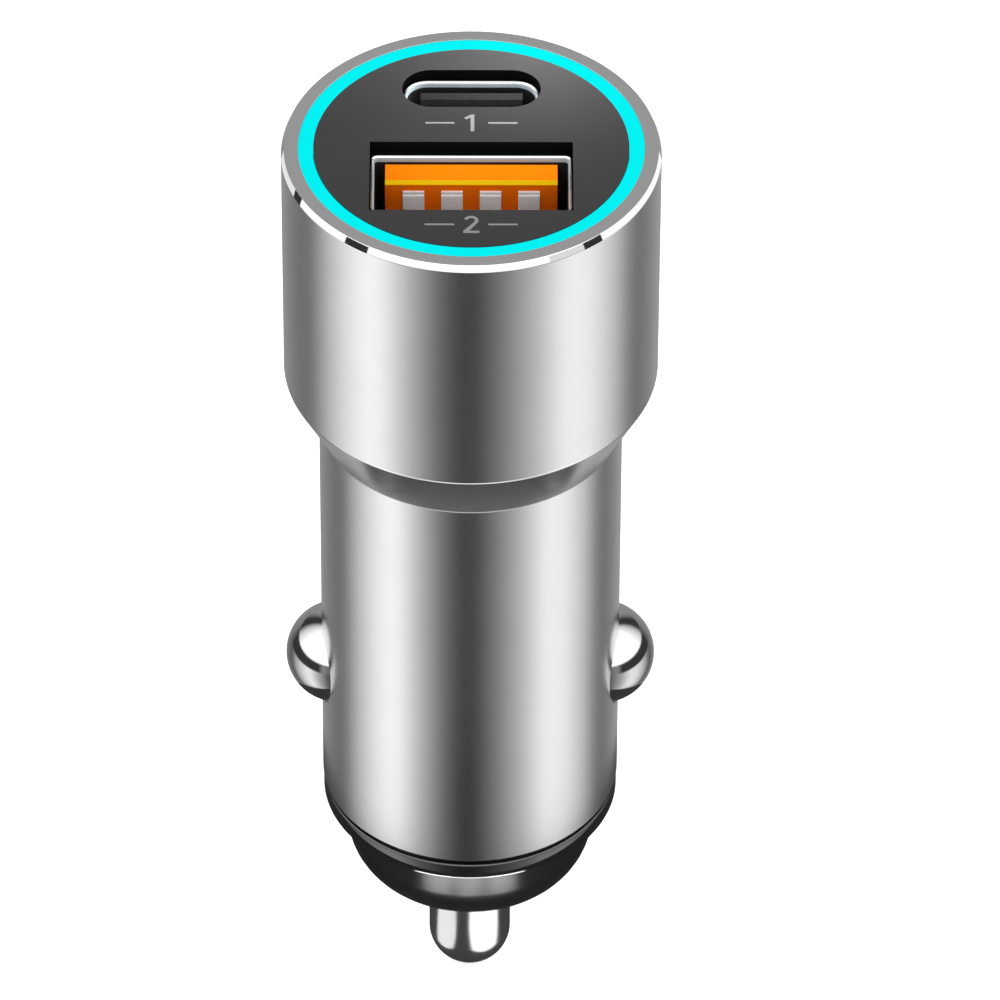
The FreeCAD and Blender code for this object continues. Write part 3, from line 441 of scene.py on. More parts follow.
class MakeHousing(bpy.types.Operator):
    """Turn the head, neck and barrel in one piece, with its two side holes"""
    bl_idname = "charger.make_housing"
    bl_label = "Housing"

    def execute(self, context):
        sizes = context.scene.charger_housing
        contacts = context.scene.charger_contacts
        top = high("housing").z
        end = low("housing").z
        head = high("housing").x
        barrel = sizes.barrel_radius
        bore = barrel - sizes.barrel_wall
        head_bore = head - sizes.head_wall
        face_bore = head - sizes.rim_wall
        neck = sizes.neck_height
        chamfer = sizes.rim_chamfer
        drop = sizes.rim_drop
        seat = top - context.scene.charger_face.ring_height
        ledge = neck + sizes.ledge_rise
        small = sizes.edge_break
        mesh = turned([
            (bore, end, 0.00005),
            (barrel, end, small),
            (barrel, 0, 0.0001),
            (head, neck, small),
            (head, top - drop, 0.00004),
            (head - chamfer, top, 0.00001),
            (face_bore, top, 0.00002),
            (face_bore, seat, 0),
            (head_bore, seat, 0),
            (head_bore, ledge, 0),
            (bore, ledge, 0),
        ], round_steps=3)
        axis_level = (low("right_contact").z + high("right_contact").z) / 2
        drill = bmesh.new()
        bmesh.ops.create_cone(drill, cap_ends=True, segments=96, depth=4 * barrel,
                              radius1=contacts.radius + contacts.hole_gap,
                              radius2=contacts.radius + contacts.hole_gap)
        bmesh.ops.rotate(drill, verts=drill.verts, cent=(0, 0, 0),
                         matrix=Matrix.Rotation(math.pi / 2, 3, "Y"))
        bmesh.ops.translate(drill, verts=drill.verts, vec=(0, 0, axis_level))
        mesh = cut_out(mesh, drill)

        def bright(middle, normal):
            radius = math.hypot(middle.x, middle.y)
            rim = middle.z > top - 1.1 * drop and 0.1 < normal.z < 0.97 and radius > face_bore + 0.0001
            shoulder = abs(middle.z - neck) < small and radius > head - small
            return rim or shoulder

        paint(mesh, 1, bright)
        settle(mesh, "housing_metal", [
            finish("satin_metal", sizes.metal, 1.0, 0.23, (9000.0, 0.04, 0.000004, 0.012, 0.012)),
            finish("polished_edge", sizes.edge_metal, 1.0, 0.06, (6000.0, 0.04, 0.000002, 0.02, 0.01)),
        ], "charger", ["housing"])
        return {"FINISHED"}


class MakeLightRing(bpy.types.Operator):
    """Turn the light ring with its skirt"""
    bl_idname = "charger.make_light_ring"
    bl_label = "Light ring"

    def execute(self, context):
        sizes = context.scene.charger_face
        housing = context.scene.charger_housing
        top = high("light_ring").z
        skirt = low("light_ring").z
        outer = high("light_ring").x
        seat = top - sizes.ring_height
        inner = high("housing").x - housing.rim_wall - sizes.ring_width
        skirt_outer = high("port_board").x
        panel_seat = low("face_panel").z
        mesh = turned([
            (inner - sizes.ring_step, skirt, 0.0001),
            (skirt_outer, skirt, 0.0001),
            (skirt_outer, seat, 0),
            (outer, seat, 0),
            (outer, top - 0.00002, 0.00006),
            (inner, top - 0.00002, 0.00006),
            (inner, panel_seat, 0),
            (inner - sizes.ring_step, panel_seat, 0),
        ])
        paint(mesh, 1, lambda middle, normal: middle.z < panel_seat + 0.0002)
        settle(mesh, "ring_light_guide", [
            lit_ring(sizes),
            finish("ring_skirt", (0.02, 0.10, 0.10), 0.0, 0.4, (7000.0, 0.08, 0.000003, 0.03, 0.05)),
        ], "charger", ["light_ring"])
        return {"FINISHED"}


class MakeFacePanel(bpy.types.Operator):
    """Make the round face panel with its two stepped openings"""
    bl_idname = "charger.make_face_panel"
    bl_label = "Face panel"

    def execute(self, context):
        sizes = context.scene.charger_face
        ports = context.scene.charger_ports
        bottom, top = low("face_panel").z, high("face_panel").z
        radius = high("face_panel").x
        disc = bmesh.new()
        bmesh.ops.create_cone(disc, cap_ends=True, segments=ROUND_STEPS, depth=top - bottom,
                              radius1=radius, radius2=radius)
        bmesh.ops.translate(disc, verts=disc.verts, vec=(0, 0, (top + bottom) / 2))
        step = high("usb_a_shell").z - sizes.opening_step
        mouths = bmesh.new()
        sleeves = bmesh.new()
        sharp, full = 0.00001, 1.0
        usb_a = (ports.a_side_margin, ports.a_near_margin, ports.a_margin, sharp, ports.a_corner)
        usb_c = (ports.c_side_margin, ports.c_margin, ports.c_margin, full, full)
        for node, form in (("usb_a_shell", usb_a), ("usb_c_shell", usb_c)):
            side, near, far, mouth_corner, corner = form
            lowest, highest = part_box(node)
            centre = (lowest + highest) / 2
            width = highest.x - lowest.x
            depth = highest.y - lowest.y
            middle = centre + Vector((0, (far - near) / 2, 0))
            mouth = outline_face(mouths, middle, width + 2 * side, depth + near + far, mouth_corner, step)
            raise_face(mouths, mouth, 0.001)
            sleeve = outline_face(sleeves, centre, width + 2 * ports.fit_gap, depth + 2 * ports.fit_gap,
                                  corner, bottom - 0.0005)
            raise_face(sleeves, sleeve, 0.003)
        for tool in (mouths, sleeves):
            bmesh.ops.recalc_face_normals(tool, faces=tool.faces)
        mesh = cut_out(cut_out(disc, mouths), sleeves)
        # Painted shade: the walls and steps of the openings are painted near-black, as shade in the
        # recesses.
        paint(mesh, 1, lambda middle, normal: math.hypot(middle.x, middle.y) < radius - 0.0001
              and middle.z < top - 1e-6 and middle.z > bottom + 1e-6)
        settle(mesh, "face_plate", [
            finish("panel_plastic", sizes.panel, 0.0, 0.5, (11000.0, 0.12, 0.000004, 0.03, 0.03),
                   specular_ior_level=0.35),
            # near-black painted shade for the recessed openings
            finish("opening_painted_shade", (0.0012, 0.0012, 0.0012), 0.0, 0.7,
                   (9000.0, 0.1, 0.000004, 0.05, 0.1), specular_ior_level=0.1),
        ], "charger", ["face_panel"], edge=0.00003)
        return {"FINISHED"}


class MakePortMarks(bpy.types.Operator):
    """Print a number between two rules beside each port"""
    bl_idname = "charger.make_port_marks"
    bl_label = "Port numbers"

    def execute(self, context):
        sizes = context.scene.charger_face
        level = high("face_panel").z
        thickness = 0.00001
        ink = finish("printed_ink", sizes.ink, 0.0, 0.6, (14000.0, 0.15, 0.000003, 0.05, 0.05),
                     specular_ior_level=0.3)
        rule = 0.00017
        gap = 0.0011
        for digit, draw, place in (("1", self.one, 0.0025), ("2", self.two, -0.0080)):
            mesh = bmesh.new()
            draw(mesh, sizes.mark_height, thickness)
            bmesh.ops.translate(mesh, verts=mesh.verts, vec=(0, place, level))
            for side in (-1, 1):
                ends = sorted((side * gap, side * sizes.mark_width / 2))
                block(mesh, (ends[0], place - rule / 2, level - thickness / 2),
                      (ends[1], place + rule / 2, level + thickness / 2))
            bmesh.ops.recalc_face_normals(mesh, faces=mesh.faces)
            settle(mesh, f"port_number_{digit}", [ink], "charger", [])
        return {"FINISHED"}

    def one(self, mesh, height, thickness):
        """Draw a 1 with a flag; the outline is in shares of its height."""
        outline = [(-0.03, -0.5), (0.11, -0.5), (0.11, 0.5), (0.0, 0.5), (-0.27, 0.31), (-0.20, 0.20),
                   (-0.03, 0.32)]
        self.raised(mesh, outline, height, thickness)

    def two(self, mesh, height, thickness):
        """Draw a 2: a bow of a wide stroke, a slanted leg and a foot."""
        stroke = 0.13
        radius = 0.27
        centre = 0.5 - radius
        start, end = math.radians(165), math.radians(-42)
        turns = [start + (end - start) * step / 24 for step in range(25)]
        outer = [(radius * math.cos(turn), centre + radius * math.sin(turn)) for turn in turns]
        inside = radius - stroke
        inner = [(inside * math.cos(turn), centre + inside * math.sin(turn)) for turn in reversed(turns)]
        foot = [(-0.07, -0.5 + stroke), (0.30, -0.5 + stroke), (0.30, -0.5), (-0.29, -0.5),
                (-0.29, -0.5 + stroke)]
        self.raised(mesh, outer + foot + inner, height, thickness)

    def raised(self, mesh, outline, height, thickness):
        spots = [mesh.verts.new((across * height, along * height, -thickness / 2))
                 for across, along in outline]
        raise_face(mesh, mesh.faces.new(spots), thickness)


def port_shell(node, corner, sizes):
    """Model a port shell with a flared mouth, open at both ends."""
    lowest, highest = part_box(node)
    centre = (lowest + highest) / 2
    mesh = bmesh.new()
    face = outline_face(mesh, centre, highest.x - lowest.x, highest.y - lowest.y, corner, lowest.z)
    edge = 0.00005
    face = raise_face(mesh, face, highest.z - lowest.z - edge)
    step_in(mesh, face, 0.00002, 0.00003)
    step_in(mesh, face, 0.00003, 0.00002)
    depths = [0.0, 0.05, 0.16, 0.34, 0.62, 1.0]
    for before, after in zip(depths, depths[1:]):
        step_in(mesh, face, (sizes.wall - edge) / 5, -(after - before) * sizes.lip_depth)
    sunk = 0.001
    step_in(mesh, face, 0.0, lowest.z + sizes.base_height - sunk - (highest.z - sizes.lip_depth))
    bmesh.ops.recalc_face_normals(mesh, faces=mesh.faces)

    def painted_shade_below(depth):
        def test(middle, normal):
            outwards = Vector((middle.x - centre.x, middle.y - centre.y))
            inside = (outwards.dot(normal.xy) < 0 and normal.y < 0.5) or normal.z > 0.5
            return inside and middle.z < highest.z - depth
        return test

    # Paint the inside of the lip darker with depth: the grey painted shade from 12 % of its depth down, the
    # near-black painted shade from 60 % down.
    paint(mesh, 1, painted_shade_below(0.12 * sizes.lip_depth))
    paint(mesh, 2, painted_shade_below(0.6 * sizes.lip_depth))
    return mesh


class MakeUsbA(bpy.types.Operator):
    """Model the USB-A port: flared shell, orange insulator and four contacts"""
    bl_idname = "charger.make_usb_a"
    bl_label = "USB-A port"

    def execute(self, context):
        sizes = context.scene.charger_ports
        shell = port_shell("usb_a_shell", sizes.a_corner, sizes)
        settle(shell, "usb_a_mouth", port_sheet_and_painted_shades(), "charger", ["usb_a_shell"], sharp=50)

        lowest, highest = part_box("usb_a_insulator")
        shell_high = high("usb_a_shell").y - sizes.wall
        far = shell_high - sizes.a_tongue_gap
        near = far - sizes.a_tongue_thickness
        half = sizes.a_tongue_width / 2
        mesh = bmesh.new()
        block(mesh, lowest, (highest.x, highest.y, lowest.z + sizes.base_height))
        made = block(mesh, (-half, near, lowest.z + sizes.base_height - 0.0001), (half, far, highest.z))
        bevel_end(mesh, made, highest.z, near + 1e-7, sizes.a_tongue_edge, 1)
        # Painted shade: the side of the tongue with the contacts gets its own deeper orange.
        paint(mesh, 1, lambda middle, normal: normal.y < -0.9 and middle.z > lowest.z + sizes.base_height)
        # Painted light: the chamfer over the contacts gets a lighter orange.
        paint(mesh, 2, lambda middle, normal: 0.3 < normal.z < 0.95)
        settle(mesh, "usb_a_tongue", [
            moulded("orange_plastic", sizes.orange),
            moulded("orange_front_painted_shade", sizes.orange_front_painted_shade),
            moulded("orange_edge_painted_light", sizes.orange_edge_painted_light),
        ], "charger", ["usb_a_insulator"], edge=0.00002)

        lowest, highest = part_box("usb_a_contacts")
        width = 0.0014
        shoulder = 0.00022
        bend = 0.0002
        end_inset, end_drop = 0.00002, 0.00016
        mesh = bmesh.new()
        for index in range(4):
            middle = (index - 1.5) * sizes.a_contact_pitch
            left, right = middle - width / 2, middle + width / 2
            pad_top = highest.z - shoulder
            pad = block(mesh, (left, lowest.y, lowest.z), (right, highest.y, pad_top))
            bevel_end(mesh, pad, pad_top, lowest.y + 1e-6, bend, 6)
            block(mesh, (left, lowest.y + end_inset, highest.z - end_drop), (right, highest.y, highest.z))
        plating = finish("plated_contacts", (0.95, 0.95, 0.94), 0.1, 0.4,
                         (9000.0, 0.08, 0.000002, 0.05, 0.03))
        settle(mesh, "usb_a_pads", [plating], "charger", ["usb_a_contacts"], edge=0.00003)
        return {"FINISHED"}


class MakeUsbC(bpy.types.Operator):
    """Model the USB-C port: flared shell and dark insulator"""
    bl_idname = "charger.make_usb_c"
    bl_label = "USB-C port"

    def execute(self, context):
        sizes = context.scene.charger_ports
        shell = port_shell("usb_c_shell", 1.0, sizes)
        settle(shell, "usb_c_mouth", port_sheet_and_painted_shades(), "charger", ["usb_c_shell"], sharp=50)

        lowest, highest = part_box("usb_c_insulator")
        centre = (lowest + highest) / 2
        half_width = sizes.c_tongue_width / 2
        half_depth = sizes.c_tongue_thickness / 2
        mesh = bmesh.new()
        base = outline_face(mesh, centre, highest.x - lowest.x, highest.y - lowest.y, 1.0, lowest.z)
        raise_face(mesh, base, sizes.base_height)
        block(mesh, (-half_width, centre.y - half_depth, lowest.z + sizes.base_height - 0.0001),
              (half_width, centre.y + half_depth, highest.z))
        bmesh.ops.recalc_face_normals(mesh, faces=mesh.faces)
        paint(mesh, 1, lambda middle, normal: normal.z > 0.9 and middle.z > highest.z - 1e-5)
        settle(mesh, "usb_c_tongue", [
            moulded("dark_plastic", (0.065, 0.065, 0.065)),
            moulded("tongue_end", (0.021, 0.021, 0.021)),
        ], "charger", ["usb_c_insulator"], edge=0.00002)
        return {"FINISHED"}


class MakeSideContacts(bpy.types.Operator):
    """Turn the two domed side contacts"""
    bl_idname = "charger.make_side_contacts"
    bl_label = "Side contacts"

    def execute(self, context):
        sizes = context.scene.charger_contacts
        metal = polished("side_nickel", sizes.nickel, 0.08)
        for node, side in (("left_contact", -1), ("right_contact", 1)):
            lowest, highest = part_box(node)
            tip = max(abs(lowest.x), abs(highest.x))
            back = min(abs(lowest.x), abs(highest.x))
            axis_level = (lowest.z + highest.z) / 2
            flange_radius = (highest.z - lowest.z) / 2
            centre = tip - sizes.radius
            inside = sizes.radius - sizes.wall
            mesh = bmesh.new()
            outer = self.arc(centre, sizes.radius, 0, math.pi / 2)
            inner = self.arc(centre, inside, math.pi / 2, 0)
            spots = outer + [
                (back + sizes.flange, sizes.radius),
                (back + sizes.flange, flange_radius),
                (back, flange_radius),
                (back, inside),
            ] + inner
            wire = [mesh.verts.new((along, 0, across)) for along, across in spots]
            for first, second in zip(wire, wire[1:]):
                mesh.edges.new((first, second))
            bmesh.ops.spin(mesh, geom=mesh.verts[:] + mesh.edges[:], cent=(0, 0, 0), axis=(1, 0, 0),
                           angle=2 * math.pi, steps=128, use_merge=True, use_duplicate=False)
            bmesh.ops.remove_doubles(mesh, verts=mesh.verts, dist=1e-7)
            if side < 0:
                bmesh.ops.scale(mesh, vec=(-1, 1, 1), verts=mesh.verts)
            bmesh.ops.translate(mesh, vec=(0, 0, axis_level), verts=mesh.verts)
            bmesh.ops.recalc_face_normals(mesh, faces=mesh.faces)
            name = node.split("_")[0]
            settle(mesh, f"{name}_dome", [metal], f"{name}_side_contact", [node])
        return {"FINISHED"}

    def arc(self, centre, radius, start, end, steps=32):
        """Points of an arc in the (along, across) plane."""
        turn = [start + (end - start) * step / steps for step in range(steps + 1)]
        return [(centre + radius * math.cos(angle), radius * math.sin(angle)) for angle in turn]


class MakeNoseCap(bpy.types.Operator):
    """Turn the black nose cap"""
    bl_idname = "charger.make_nose_cap"
    bl_label = "Nose cap"

    def execute(self, context):
        sizes = context.scene.charger_nose
        housing = context.scene.charger_housing
        barrel = housing.barrel_radius
        end = low("housing").z
        tip = low("nose_cap").z
        top = high("nose_cap").z
        band = high("nose_cap").x
        groove = barrel - sizes.groove_depth
        nose = barrel - sizes.nose_step
        band_top = end - sizes.groove_height
        band_bottom = band_top - sizes.band_height
        hole = sizes.pin_radius + sizes.slide_gap
        spigot = barrel - housing.barrel_wall - 0.00005
        mesh = turned([
            (hole, tip, 0.00015),
            (nose, tip, sizes.nose_rounding),
            (nose, band_bottom, 0.0001),
            (band, band_bottom, sizes.band_edge),
            (band, band_top, 0.00015),
            (groove, band_top, 0),
            (groove, end, 0),
            (spigot, end, 0),
            (spigot, top, 0.0001),
            (sizes.chamber_radius, top, 0.0001),
            (sizes.chamber_radius, tip + sizes.nose_floor, 0),
            (hole, tip + sizes.nose_floor, 0),
        ], round_steps=12)
        paint(mesh, 1, lambda middle, normal: middle.z < band_bottom + sizes.band_edge)
        settle(mesh, "nose_moulding", [
            finish("gloss_black", sizes.black, 0.0, 0.03, (8000.0, 0.01, 0.000001, 0.01, 0.2), ior=2.0),
            finish("satin_black", sizes.black, 0.0, 0.24, (8000.0, 0.01, 0.000001, 0.01, 0.2), ior=1.55),
        ], "charger", ["nose_cap"])
        return {"FINISHED"}


class MakeCentrePin(bpy.types.Operator):
    """Turn the centre pin with its round end"""
    bl_idname = "charger.make_centre_pin"
    bl_label = "Centre pin"

    def execute(self, context):
        sizes = context.scene.charger_nose
        contacts = context.scene.charger_contacts
        lowest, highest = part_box("centre_pin")
        radius = sizes.pin_radius
        shoulder = highest.x
        shoulder_bottom = low("nose_cap").z + sizes.nose_floor + sizes.slide_gap
        shoulder_top = shoulder_bottom + sizes.pin_shoulder
        mesh = turned([
            (0, lowest.z, 0),
            (radius, lowest.z, radius - 1e-6),
            (radius, shoulder_bottom, 0),
            (shoulder, shoulder_bottom, 0.0001),
            (shoulder, shoulder_top, 0.0001),
            (sizes.pilot_radius, shoulder_top, 0),
            (sizes.pilot_radius, highest.z, 0.0003),
            (0, highest.z, 0),
        ], steps=128, round_steps=24)
        settle(mesh, "pin_plunger", [polished("pin_chrome", contacts.chrome, 0.2)], "pin",
               ["centre_pin"])
        return {"FINISHED"}


INSIDE = {
    "usb_c_contacts": ("gold_contacts", (0.16, 0.12, 0.055), 1.0, 0.5),
    "port_board": ("solder_mask", (0.01, 0.09, 0.035), 0.0, 0.35),
    "main_board": ("board_mask", (0.01, 0.09, 0.035), 0.0, 0.35),
    "ring_leds": ("led_package", (0.85, 0.85, 0.7), 0.0, 0.3),
    "inductors": ("ferrite", (0.05, 0.05, 0.055), 0.0, 0.6),
    "controller_chips": ("chip_resin", (0.012, 0.012, 0.012), 0.0, 0.5),
    "chip_capacitors": ("fired_ceramic", (0.42, 0.28, 0.15), 0.0, 0.45),
    "input_fuse": ("fuse_ceramic", (0.8, 0.78, 0.7), 0.0, 0.4),
    "capacitors": ("can_aluminium", (0.78, 0.78, 0.8), 1.0, 0.32),
    "contact_carrier": ("carrier_plastic", (0.62, 0.6, 0.55), 0.0, 0.5),
    "ground_strap": ("strap_brass", (0.72, 0.5, 0.2), 1.0, 0.28),
    "positive_terminal": ("terminal_brass", (0.72, 0.5, 0.2), 1.0, 0.28),
    "left_contact_spring": ("left_spring_wire", (0.62, 0.62, 0.63), 1.0, 0.25),
    "right_contact_spring": ("right_spring_wire", (0.62, 0.62, 0.63), 1.0, 0.25),
    "pin_spring": ("pin_spring_wire", (0.62, 0.62, 0.63), 1.0, 0.25),
}


class FinishInside(bpy.types.Operator):
    """Give the boards, parts, springs and strips inside their finishes"""
    bl_idname = "charger.finish_inside"
    bl_label = "Inside"

    def execute(self, context):
        for node, (name, base, metallic, rough) in INSIDE.items():
            material = finish(name, base, metallic, rough, (8000.0, 0.1, 0.000005, 0.06, 0.08))
            for place in frame["nodes"][node].material_slots:
                place.material = material
        return {"FINISHED"}


def studio_world(settings):
    """Light the object all round: soft white, with tall panels for the metal to reflect."""
    world = bpy.data.worlds.new("studio")
    world.use_nodes = True
    tree = world.node_tree
    tree.nodes.clear()

    def node(kind, **values):
        made = tree.nodes.new(kind)
        for name, setting in values.items():
            setattr(made, name, setting)
        return made

    def maths(operation, first, second=0.0, third=None):
        made = node("ShaderNodeMath", operation=operation)
        for index, item in enumerate((first, second, third)):
            if item is None:
                continue
            if isinstance(item, (int, float)):
                made.inputs[index].default_value = item
            else:
                tree.links.new(item, made.inputs[index])
        return made.outputs[0]

    def ramp(factor, stops):
        """Brightness all round; a stop is (degrees from the front, positive to the right, level)."""
        made = node("ShaderNodeValToRGB")
        elements = made.color_ramp.elements
        while len(elements) < len(stops):
            elements.new(0.5)
        for element, (degrees, level) in zip(elements, stops):
            element.position = degrees / 360 + 0.5
            element.color = (level, level, level, 1)
        tree.links.new(factor, made.inputs["Fac"])
        return made.outputs["Color"]

    def mix(factor, first, second):
        made = node("ShaderNodeMix", data_type="RGBA")
        tree.links.new(factor, made.inputs[0])
        tree.links.new(first, made.inputs[6])
        tree.links.new(second, made.inputs[7])
        return made.outputs[2]

    def smooth(value, start, end):
        made = node("ShaderNodeMapRange", interpolation_type="SMOOTHSTEP")
        made.inputs["From Min"].default_value = start
        made.inputs["From Max"].default_value = end
        tree.links.new(value, made.inputs["Value"])
        return made.outputs["Result"]

    places = node("ShaderNodeTexCoord")
    parts = node("ShaderNodeSeparateXYZ")
    tree.links.new(places.outputs["Generated"], parts.inputs[0])
    back = maths("MULTIPLY", parts.outputs["Y"], -1.0)
    turn = maths("DIVIDE", maths("ARCTAN2", parts.outputs["X"], back), 2 * math.pi)
    turn = maths("ADD", turn, 0.5)
    lower = ramp(turn, [
        (-180, 0.10), (-168, 0.36), (-125, 0.17), (-113, 0.18), (-84, 0.90), (-66, 1.25), (-57, 1.20),
        (-40, 0.60), (-22, 0.18), (-8, 0.04), (4, 0.04), (22, 0.25), (42, 0.62), (60, 1.16), (76, 1.12),
        (98, 0.64), (112, 0.24), (122, 0.16), (165, 0.42), (180, 0.10)])
    horizon = ramp(turn, [
        (-180, 0.40), (-140, 0.30), (-120, 0.05), (-40, 0.05), (-30, 0.35), (-8, 0.08), (4, 0.08),
        (30, 0.35), (40, 0.05), (120, 0.05), (140, 0.30), (180, 0.40)])
    upper = ramp(turn, [
        (-180, 0.37), (-152, 0.37), (-140, 0.05), (-128, 0.05), (-116, 0.90), (-96, 1.60), (96, 1.60),
        (116, 0.90), (128, 0.05), (140, 0.05), (152, 0.37), (180, 0.37)])
    under = ramp(turn, [
        (-180, 0.60), (-140, 0.55), (-110, 0.20), (-60, 0.60), (-20, 1.20), (20, 1.20), (60, 0.60),
        (110, 0.20), (140, 0.55), (180, 0.60)])
    dark_round = ramp(turn, [(-180, 0.12), (180, 0.12)])
    nadir = ramp(turn, [(-180, 0.65), (180, 0.65)])
    zenith = ramp(turn, [(-180, 0.70), (180, 0.70)])
    height = parts.outputs["Z"]
    glossy = mix(smooth(height, -0.80, -0.88), lower, under)
    glossy = mix(smooth(height, -0.93, -0.95), glossy, dark_round)
    glossy = mix(smooth(height, -0.980, -0.990), glossy, nadir)
    glossy = mix(smooth(height, -0.31, -0.25), glossy, horizon)
    glossy = mix(smooth(height, 0.04, 0.11), glossy, upper)
    glossy = mix(smooth(height, 0.80, 0.97), glossy, zenith)
    kinds = node("ShaderNodeLightPath")
    plain = node("ShaderNodeRGB")
    plain.outputs[0].default_value = (1, 1, 1, 1)
    colour_out = mix(kinds.outputs["Is Glossy Ray"], plain.outputs[0], glossy)
    shine = node("ShaderNodeBackground")
    shine.inputs["Strength"].default_value = settings.ambient
    tree.links.new(colour_out, shine.inputs["Color"])
    output = node("ShaderNodeOutputWorld")
    tree.links.new(shine.outputs[0], output.inputs["Surface"])
    bpy.context.scene.world = world


class MakeStage(bpy.types.Operator):
    """Set up the floor, the lights and the camera"""
    bl_idname = "charger.make_stage"
    bl_label = "Stage"

    def hang(self, mesh, name, level):
        """Hang a card of even brightness that only reflections show."""
        card = mesh_object(mesh, name)
        card.data.materials.append(shader(name, (0, 0, 0), 0.0, 1.0, specular_ior_level=0.0,
                                          emission_color=(1, 1, 1, 1), emission_strength=level))
        card.visible_camera = False
        card.visible_diffuse = False
        card.visible_shadow = False

    def rim_card(self, name, level, start, end, lift):
        """Hang a curved card that the polished rim reflects between two azimuths in degrees."""
        housing = bpy.context.scene.charger_housing
        slope = math.atan2(housing.rim_chamfer, housing.rim_drop)
        viewer = Vector((0, -math.cos(lift), math.sin(lift)))
        rim = high("housing")
        distance, half_height = 0.005, 0.001
        mesh = bmesh.new()
        posts = []
        steps = math.ceil((end - start) / 4)
        for step in range(steps + 1):
            around = math.radians(start + (end - start) * step / steps)
            outwards = Vector((math.sin(around), -math.cos(around), 0))
            normal = outwards * math.cos(slope) + Vector((0, 0, math.sin(slope)))
            towards = 2 * normal.dot(viewer) * normal - viewer
            spot = outwards * rim.x + Vector((0, 0, rim.z)) + towards * distance
            edge = Vector((0, 0, half_height))
            posts.append((mesh.verts.new(spot - edge), mesh.verts.new(spot + edge)))
        for (low_end, high_end), (next_low, next_high) in zip(posts, posts[1:]):
            mesh.faces.new((low_end, next_low, next_high, high_end))
        self.hang(mesh, name, level)

    def low_light(self, context, name, watts, size, place, degrees, piece):
        """Lay a soft light on the floor that shines up on one piece."""
        light = bpy.data.lights.new(name, "AREA")
        light.shape = "ELLIPSE"
        light.size, light.size_y = size
        light.energy = watts
        lamp = bpy.data.objects.new(name, light)
        lamp.location = (*place, low("centre_pin").z - 0.0001)
        lamp.rotation_euler = (math.pi, 0, math.radians(degrees))
        lamp.visible_camera = False
        lit = bpy.data.collections.new(name)
        lit.objects.link(bpy.data.objects[piece])
        lamp.light_linking.receiver_collection = lit
        context.scene.collection.objects.link(lamp)

    def lay_floor(self, settings):
        mesh = bmesh.new()
        bmesh.ops.create_grid(mesh, x_segments=1, y_segments=1, size=2.5)
        bmesh.ops.translate(mesh, verts=mesh.verts, vec=(0, 0, low("centre_pin").z - settings.floor_gap))
        floor = mesh_object(mesh, "studio_floor")
        floor.data.materials.append(shader("studio_paper", (0.9, 0.9, 0.9), 0.0, 0.9, specular_ior_level=0.0,
                                           emission_color=(1, 1, 1, 1), emission_strength=0.6))
        floor.visible_glossy = False

    def light_face(self, context, settings):
        """Hang a small softbox behind the face, which brightens its far side."""
        softbox = bpy.data.lights.new("face_softbox", "AREA")
        softbox.shape = "DISK"
        softbox.size = 0.009
        softbox.energy = settings.face_light
        lamp = bpy.data.objects.new("face_softbox", softbox)
        lamp.location = (0.0045, 0.0125, 0.0315)
        aim = Vector((0.0025, 0.0115, 0.0227)) - lamp.location
        lamp.rotation_euler = aim.to_track_quat("-Z", "Y").to_euler()
        lamp.visible_glossy = False
        lamp.visible_camera = False
        context.scene.collection.objects.link(lamp)

    def light_pin_and_nose(self, context):
        """Shade the reflections below the pin, and light the pin and the nose from the floor."""
        shade = bmesh.new()
        bmesh.ops.create_circle(shade, cap_ends=True, segments=64, radius=0.0275)
        bmesh.ops.translate(shade, verts=shade.verts, vec=(0, 0, low("centre_pin").z - 0.0002))
        self.hang(shade, "pin_shade", 0.05)
        for name, watts, size, place, degrees, piece in (
                ("pin_right", 0.00044, (0.0130, 0.0105), (0.0060, -0.0078), 27, "pin_plunger"),
                ("pin_left", 0.0002, (0.0085, 0.0105), (-0.0084, -0.0049), -60, "pin_plunger"),
                ("nose_left", 0.0015, (0.0125, 0.0028), (-0.0095, -0.0223), -25, "nose_moulding"),
                ("nose_middle", 0.0015, (0.0125, 0.0028), (0, -0.0243), 0, "nose_moulding"),
                ("nose_right", 0.0015, (0.0125, 0.0028), (0.0095, -0.0223), 25, "nose_moulding")):
            self.low_light(context, f"{name}_light", watts, size, place, degrees, piece)

    def light_rim(self, lift):
        """Hang the rim's cards; a card is (first degree, last degree, level) from the front."""
        for index, (first, last, level) in enumerate((
                (-88, -69, 0.85), (-69, -64, 0.03), (-64, -41.5, 1.1), (-41.5, -33, 0.03),
                (-33, 24.5, 1.15), (24.5, 36.5, 0.75), (36.5, 43.5, 0.03), (43.5, 88, 1.05))):
            self.rim_card(f"rim_card_{index}", level, first, last, lift)

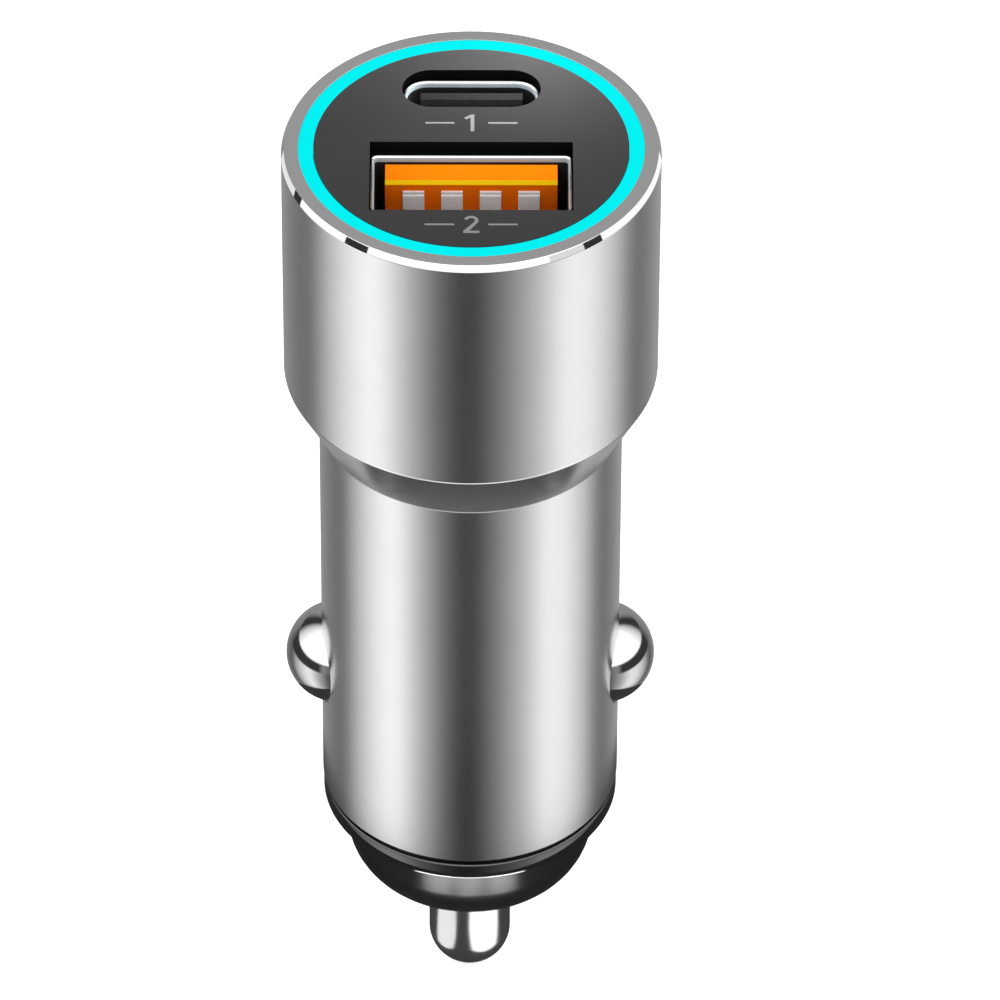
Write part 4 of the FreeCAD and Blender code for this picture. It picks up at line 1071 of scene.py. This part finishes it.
    def place_camera(self, context, settings):
        lift = settings.camera_lift
        forward = Vector((0, math.cos(lift), -math.sin(lift)))
        upward = Vector((0, math.sin(lift), math.cos(lift)))
        aim = forward + upward * settings.aim_up
        lens = bpy.data.cameras.new("studio_camera")
        lens.lens = settings.lens
        lens.shift_x = settings.shift
        lens.clip_start = 0.01
        lens.clip_end = 50
        camera = bpy.data.objects.new("studio_camera", lens)
        camera.location = -forward * settings.camera_distance
        level = aim.to_track_quat("-Z", "Y")
        camera.rotation_euler = (level @ Quaternion((0, 0, 1), settings.roll)).to_euler()
        context.scene.collection.objects.link(camera)
        context.scene.camera = camera

    def execute(self, context):
        settings = context.scene.charger_stage
        self.lay_floor(settings)
        self.light_face(context, settings)
        studio_world(settings)
        self.light_pin_and_nose(context)
        self.light_rim(settings.camera_lift)
        self.place_camera(context, settings)
        context.scene.view_settings.view_transform = "Standard"
        return {"FINISHED"}


STEPS = [MakeHousing, MakeLightRing, MakeFacePanel, MakePortMarks, MakeUsbA, MakeUsbC, MakeSideContacts,
         MakeNoseCap, MakeCentrePin, FinishInside, MakeStage]


class ChargerPanel(bpy.types.Panel):
    """List the pieces of the charger in the sidebar"""
    bl_idname = "VIEW3D_PT_charger"
    bl_label = "Charger"
    bl_space_type = "VIEW_3D"
    bl_region_type = "UI"
    bl_category = "Charger"

    def draw(self, context):
        for step in STEPS:
            self.layout.operator(step.bl_idname)
        for name, kind in GROUPS.items():
            column = self.layout.column(align=True)
            group = getattr(context.scene, name)
            for size in kind.__annotations__:
                column.prop(group, size)


def register():
    for kind in GROUPS.values():
        bpy.utils.register_class(kind)
    for name, kind in GROUPS.items():
        setattr(bpy.types.Scene, name, PointerProperty(type=kind))
    for step in STEPS:
        bpy.utils.register_class(step)
    bpy.utils.register_class(ChargerPanel)


def unregister():
    bpy.utils.unregister_class(ChargerPanel)
    for step in reversed(STEPS):
        bpy.utils.unregister_class(step)
    for name in GROUPS:
        delattr(bpy.types.Scene, name)
    for kind in reversed(list(GROUPS.values())):
        bpy.utils.unregister_class(kind)


def main():
    register()
    for step in STEPS:
        group, action = step.bl_idname.split(".")
        getattr(getattr(bpy.ops, group), action)()


if __name__ == "__main__":
    main()
